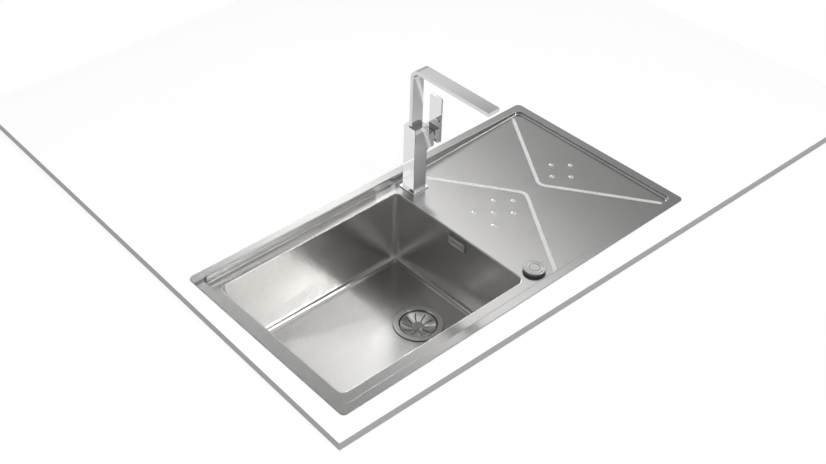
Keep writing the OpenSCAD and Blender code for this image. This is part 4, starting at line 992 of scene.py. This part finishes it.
# Light. A direction of the studio is given by its turn from straight up towards +X, in degrees,
# and by its Y and Z. Tables hold (turn or Z, level)
STRIP = ((20.0, 0.72), (29.0, 0.70), (31.5, 0.50), (34.0, 0.56), (36.4, 0.85), (38.2, 5.3),
         (39.8, 5.8), (41.3, 2.8), (42.6, 1.35), (44.1, 0.83), (45.8, 0.47), (47.5, 0.26),
         (50.0, 0.23), (60.0, 0.22))
HEIGHTS = ((-1.0, 0.45), (-0.06, 0.6), (0.0, 1.0), (0.5, 2.9), (0.54, 3.0), (0.557, 1.8),
           (0.575, 0.86), (0.6, 0.70), (0.67, 0.58), (0.73, 0.39), (0.80, 0.45), (0.9, 1.0),
           (1.0, 1.2))
TO_REAR = (-0.15, 0.25)  # Y from the front half to the rear half
TO_LIT = (-10.0, 25.0)  # turn from the dim left to full light
LEFT_FRONT = 0.19  # light of the dim left, in front and behind
LEFT_REAR = 0.4
TO_DIM = (41.8, 43.4)  # turn over which the front half gets dim at the right
RIGHT_FRONT = 0.3
OVER_HORIZON = (0.0, 0.12)  # Z over which the strip sets in
DIP_Z = (0.705, 0.665)  # Z and turn over which the strip's lower left gets dimmer
DIP_TURN = (38.4, 36.2)
DIP = 0.35


def make_studio():
    """Soft studio: a long strip over the right side, dark at the left, white to the camera."""
    world = bpy.data.worlds.new("studio")
    SCENE.world = world
    world.use_nodes = True
    f = Nodes(world.node_tree)
    x, y, z = f.split(f.add("TexCoord").node.outputs["Generated"])
    turn = f.math("DEGREES", f.math("ARCTAN2", x, z))
    rear = f.ramp(y, *TO_REAR)
    left = f.mix(rear, f.ramp(turn, *TO_LIT, LEFT_FRONT, 1.0),
                 f.ramp(turn, *TO_LIT, LEFT_REAR, 1.0))
    right = f.mix(rear, f.ramp(turn, *TO_DIM, 1.0, RIGHT_FRONT), 1.0)
    across = f.math("MULTIPLY", f.stops(turn, STRIP), f.math("MULTIPLY", left, right))
    low = f.math("MULTIPLY", f.ramp(z, *DIP_Z), f.ramp(turn, *DIP_TURN))
    across = f.math("MULTIPLY", across, f.math("SUBTRACT", 1.0, f.math("MULTIPLY", low, DIP)))
    across = f.mix(f.ramp(z, *OVER_HORIZON), 1.0, across)
    glow = f.math("MULTIPLY", across, f.stops(z, HEIGHTS))
    camera_ray = f.add("LightPath").node.outputs["Is Camera Ray"]
    soft = f.add("Background", {"Color": (1.0, 1.0, 1.0, 1.0), "Strength": glow})
    white = f.add("Background", {"Color": (1.0, 1.0, 1.0, 1.0), "Strength": 1.0})
    mixed = f.add("MixShader", {0: camera_ray, 1: soft, 2: white})
    out = f.tree.nodes.new("ShaderNodeOutputWorld")
    f.tree.links.new(mixed, out.inputs["Surface"])


make_studio()


def make_lamp(name, place, aim, size, power, mirrored=False):
    """Soft lamp that lights the dull pieces, and shows in the metal only if mirrored."""
    lamp = bpy.data.lights.new(name, "AREA")
    lamp.shape = "RECTANGLE"
    lamp.size, lamp.size_y = size
    lamp.energy = power
    obj = bpy.data.objects.new(name, lamp)
    obj.location = place
    obj.rotation_mode = "QUATERNION"
    obj.rotation_quaternion = (Vector(aim) - Vector(place)).to_track_quat("-Z", "Y")
    obj.visible_glossy = mirrored
    obj.visible_camera = False
    SCENE.collection.objects.link(obj)


# Name, place and aim in metres, width and height, watts. The metal shows only the reflectors
LAMPS = (
    ("lamp_over", (-0.6, -0.8, 2.6), (0.0, 0.0, 0.0), (2.4, 2.4), 30.0),
    ("lamp_under", (0.4, -1.6, -2.0), (0.0, 0.0, -0.2), (2.0, 2.0), 18.0),
)
REFLECTORS = (
    ("box_rear", (0.38, 0.69, 0.8), (0.38, 0.69, 0.0), (0.38, 0.36), 0.15),
    ("box_front", (0.47, -0.70, 0.8), (0.47, -0.70, 0.0), (0.40, 0.5), 0.15),
    ("card_wall", (0.035, 0.2303, 0.0046), (0.035, 0.0, 0.0046), (0.060, 0.0471), 0.0063),
    ("card_deck", (0.040, 0.1997, -0.0185), (0.040, 0.1997, 1.0), (0.052, 0.0613), 0.0060),
    ("card_post", (0.170, 0.10, 0.145), (0.170, 0.2, 0.145), (0.07, 0.15), 0.0082),
)
for row in LAMPS:
    make_lamp(*row)
for row in REFLECTORS:
    make_lamp(*row, mirrored=True)

# Camera, solved from the sink's corners
AZIMUTH, ELEVATION, ROLL = (math.radians(a) for a in (-38.5794, 39.5957, -1.4807))
CAMERA_AT = (-1.4708149, -1.4472532, 1.7191063)
LENS = 53.472
SHIFT_X = 0.1005
camera_data = bpy.data.cameras.new("camera")
camera_data.sensor_width = 36.0
camera_data.lens = LENS
camera_data.shift_x = SHIFT_X
camera_data.clip_start, camera_data.clip_end = 0.05, 50.0
camera = bpy.data.objects.new("camera", camera_data)
SCENE.collection.objects.link(camera)
SCENE.camera = camera
back = Vector((math.sin(AZIMUTH) * math.cos(ELEVATION),
               -math.cos(AZIMUTH) * math.cos(ELEVATION), math.sin(ELEVATION)))
level_right = Vector((math.cos(AZIMUTH), math.sin(AZIMUTH), 0.0))
level_up = back.cross(level_right)
right = level_right * math.cos(ROLL) + level_up * math.sin(ROLL)
up = back.cross(right)
axes = Matrix((right, up, back)).transposed().to_4x4()
camera.matrix_world = Matrix.Translation(CAMERA_AT) @ axes

SCENE.view_settings.view_transform = "Standard"
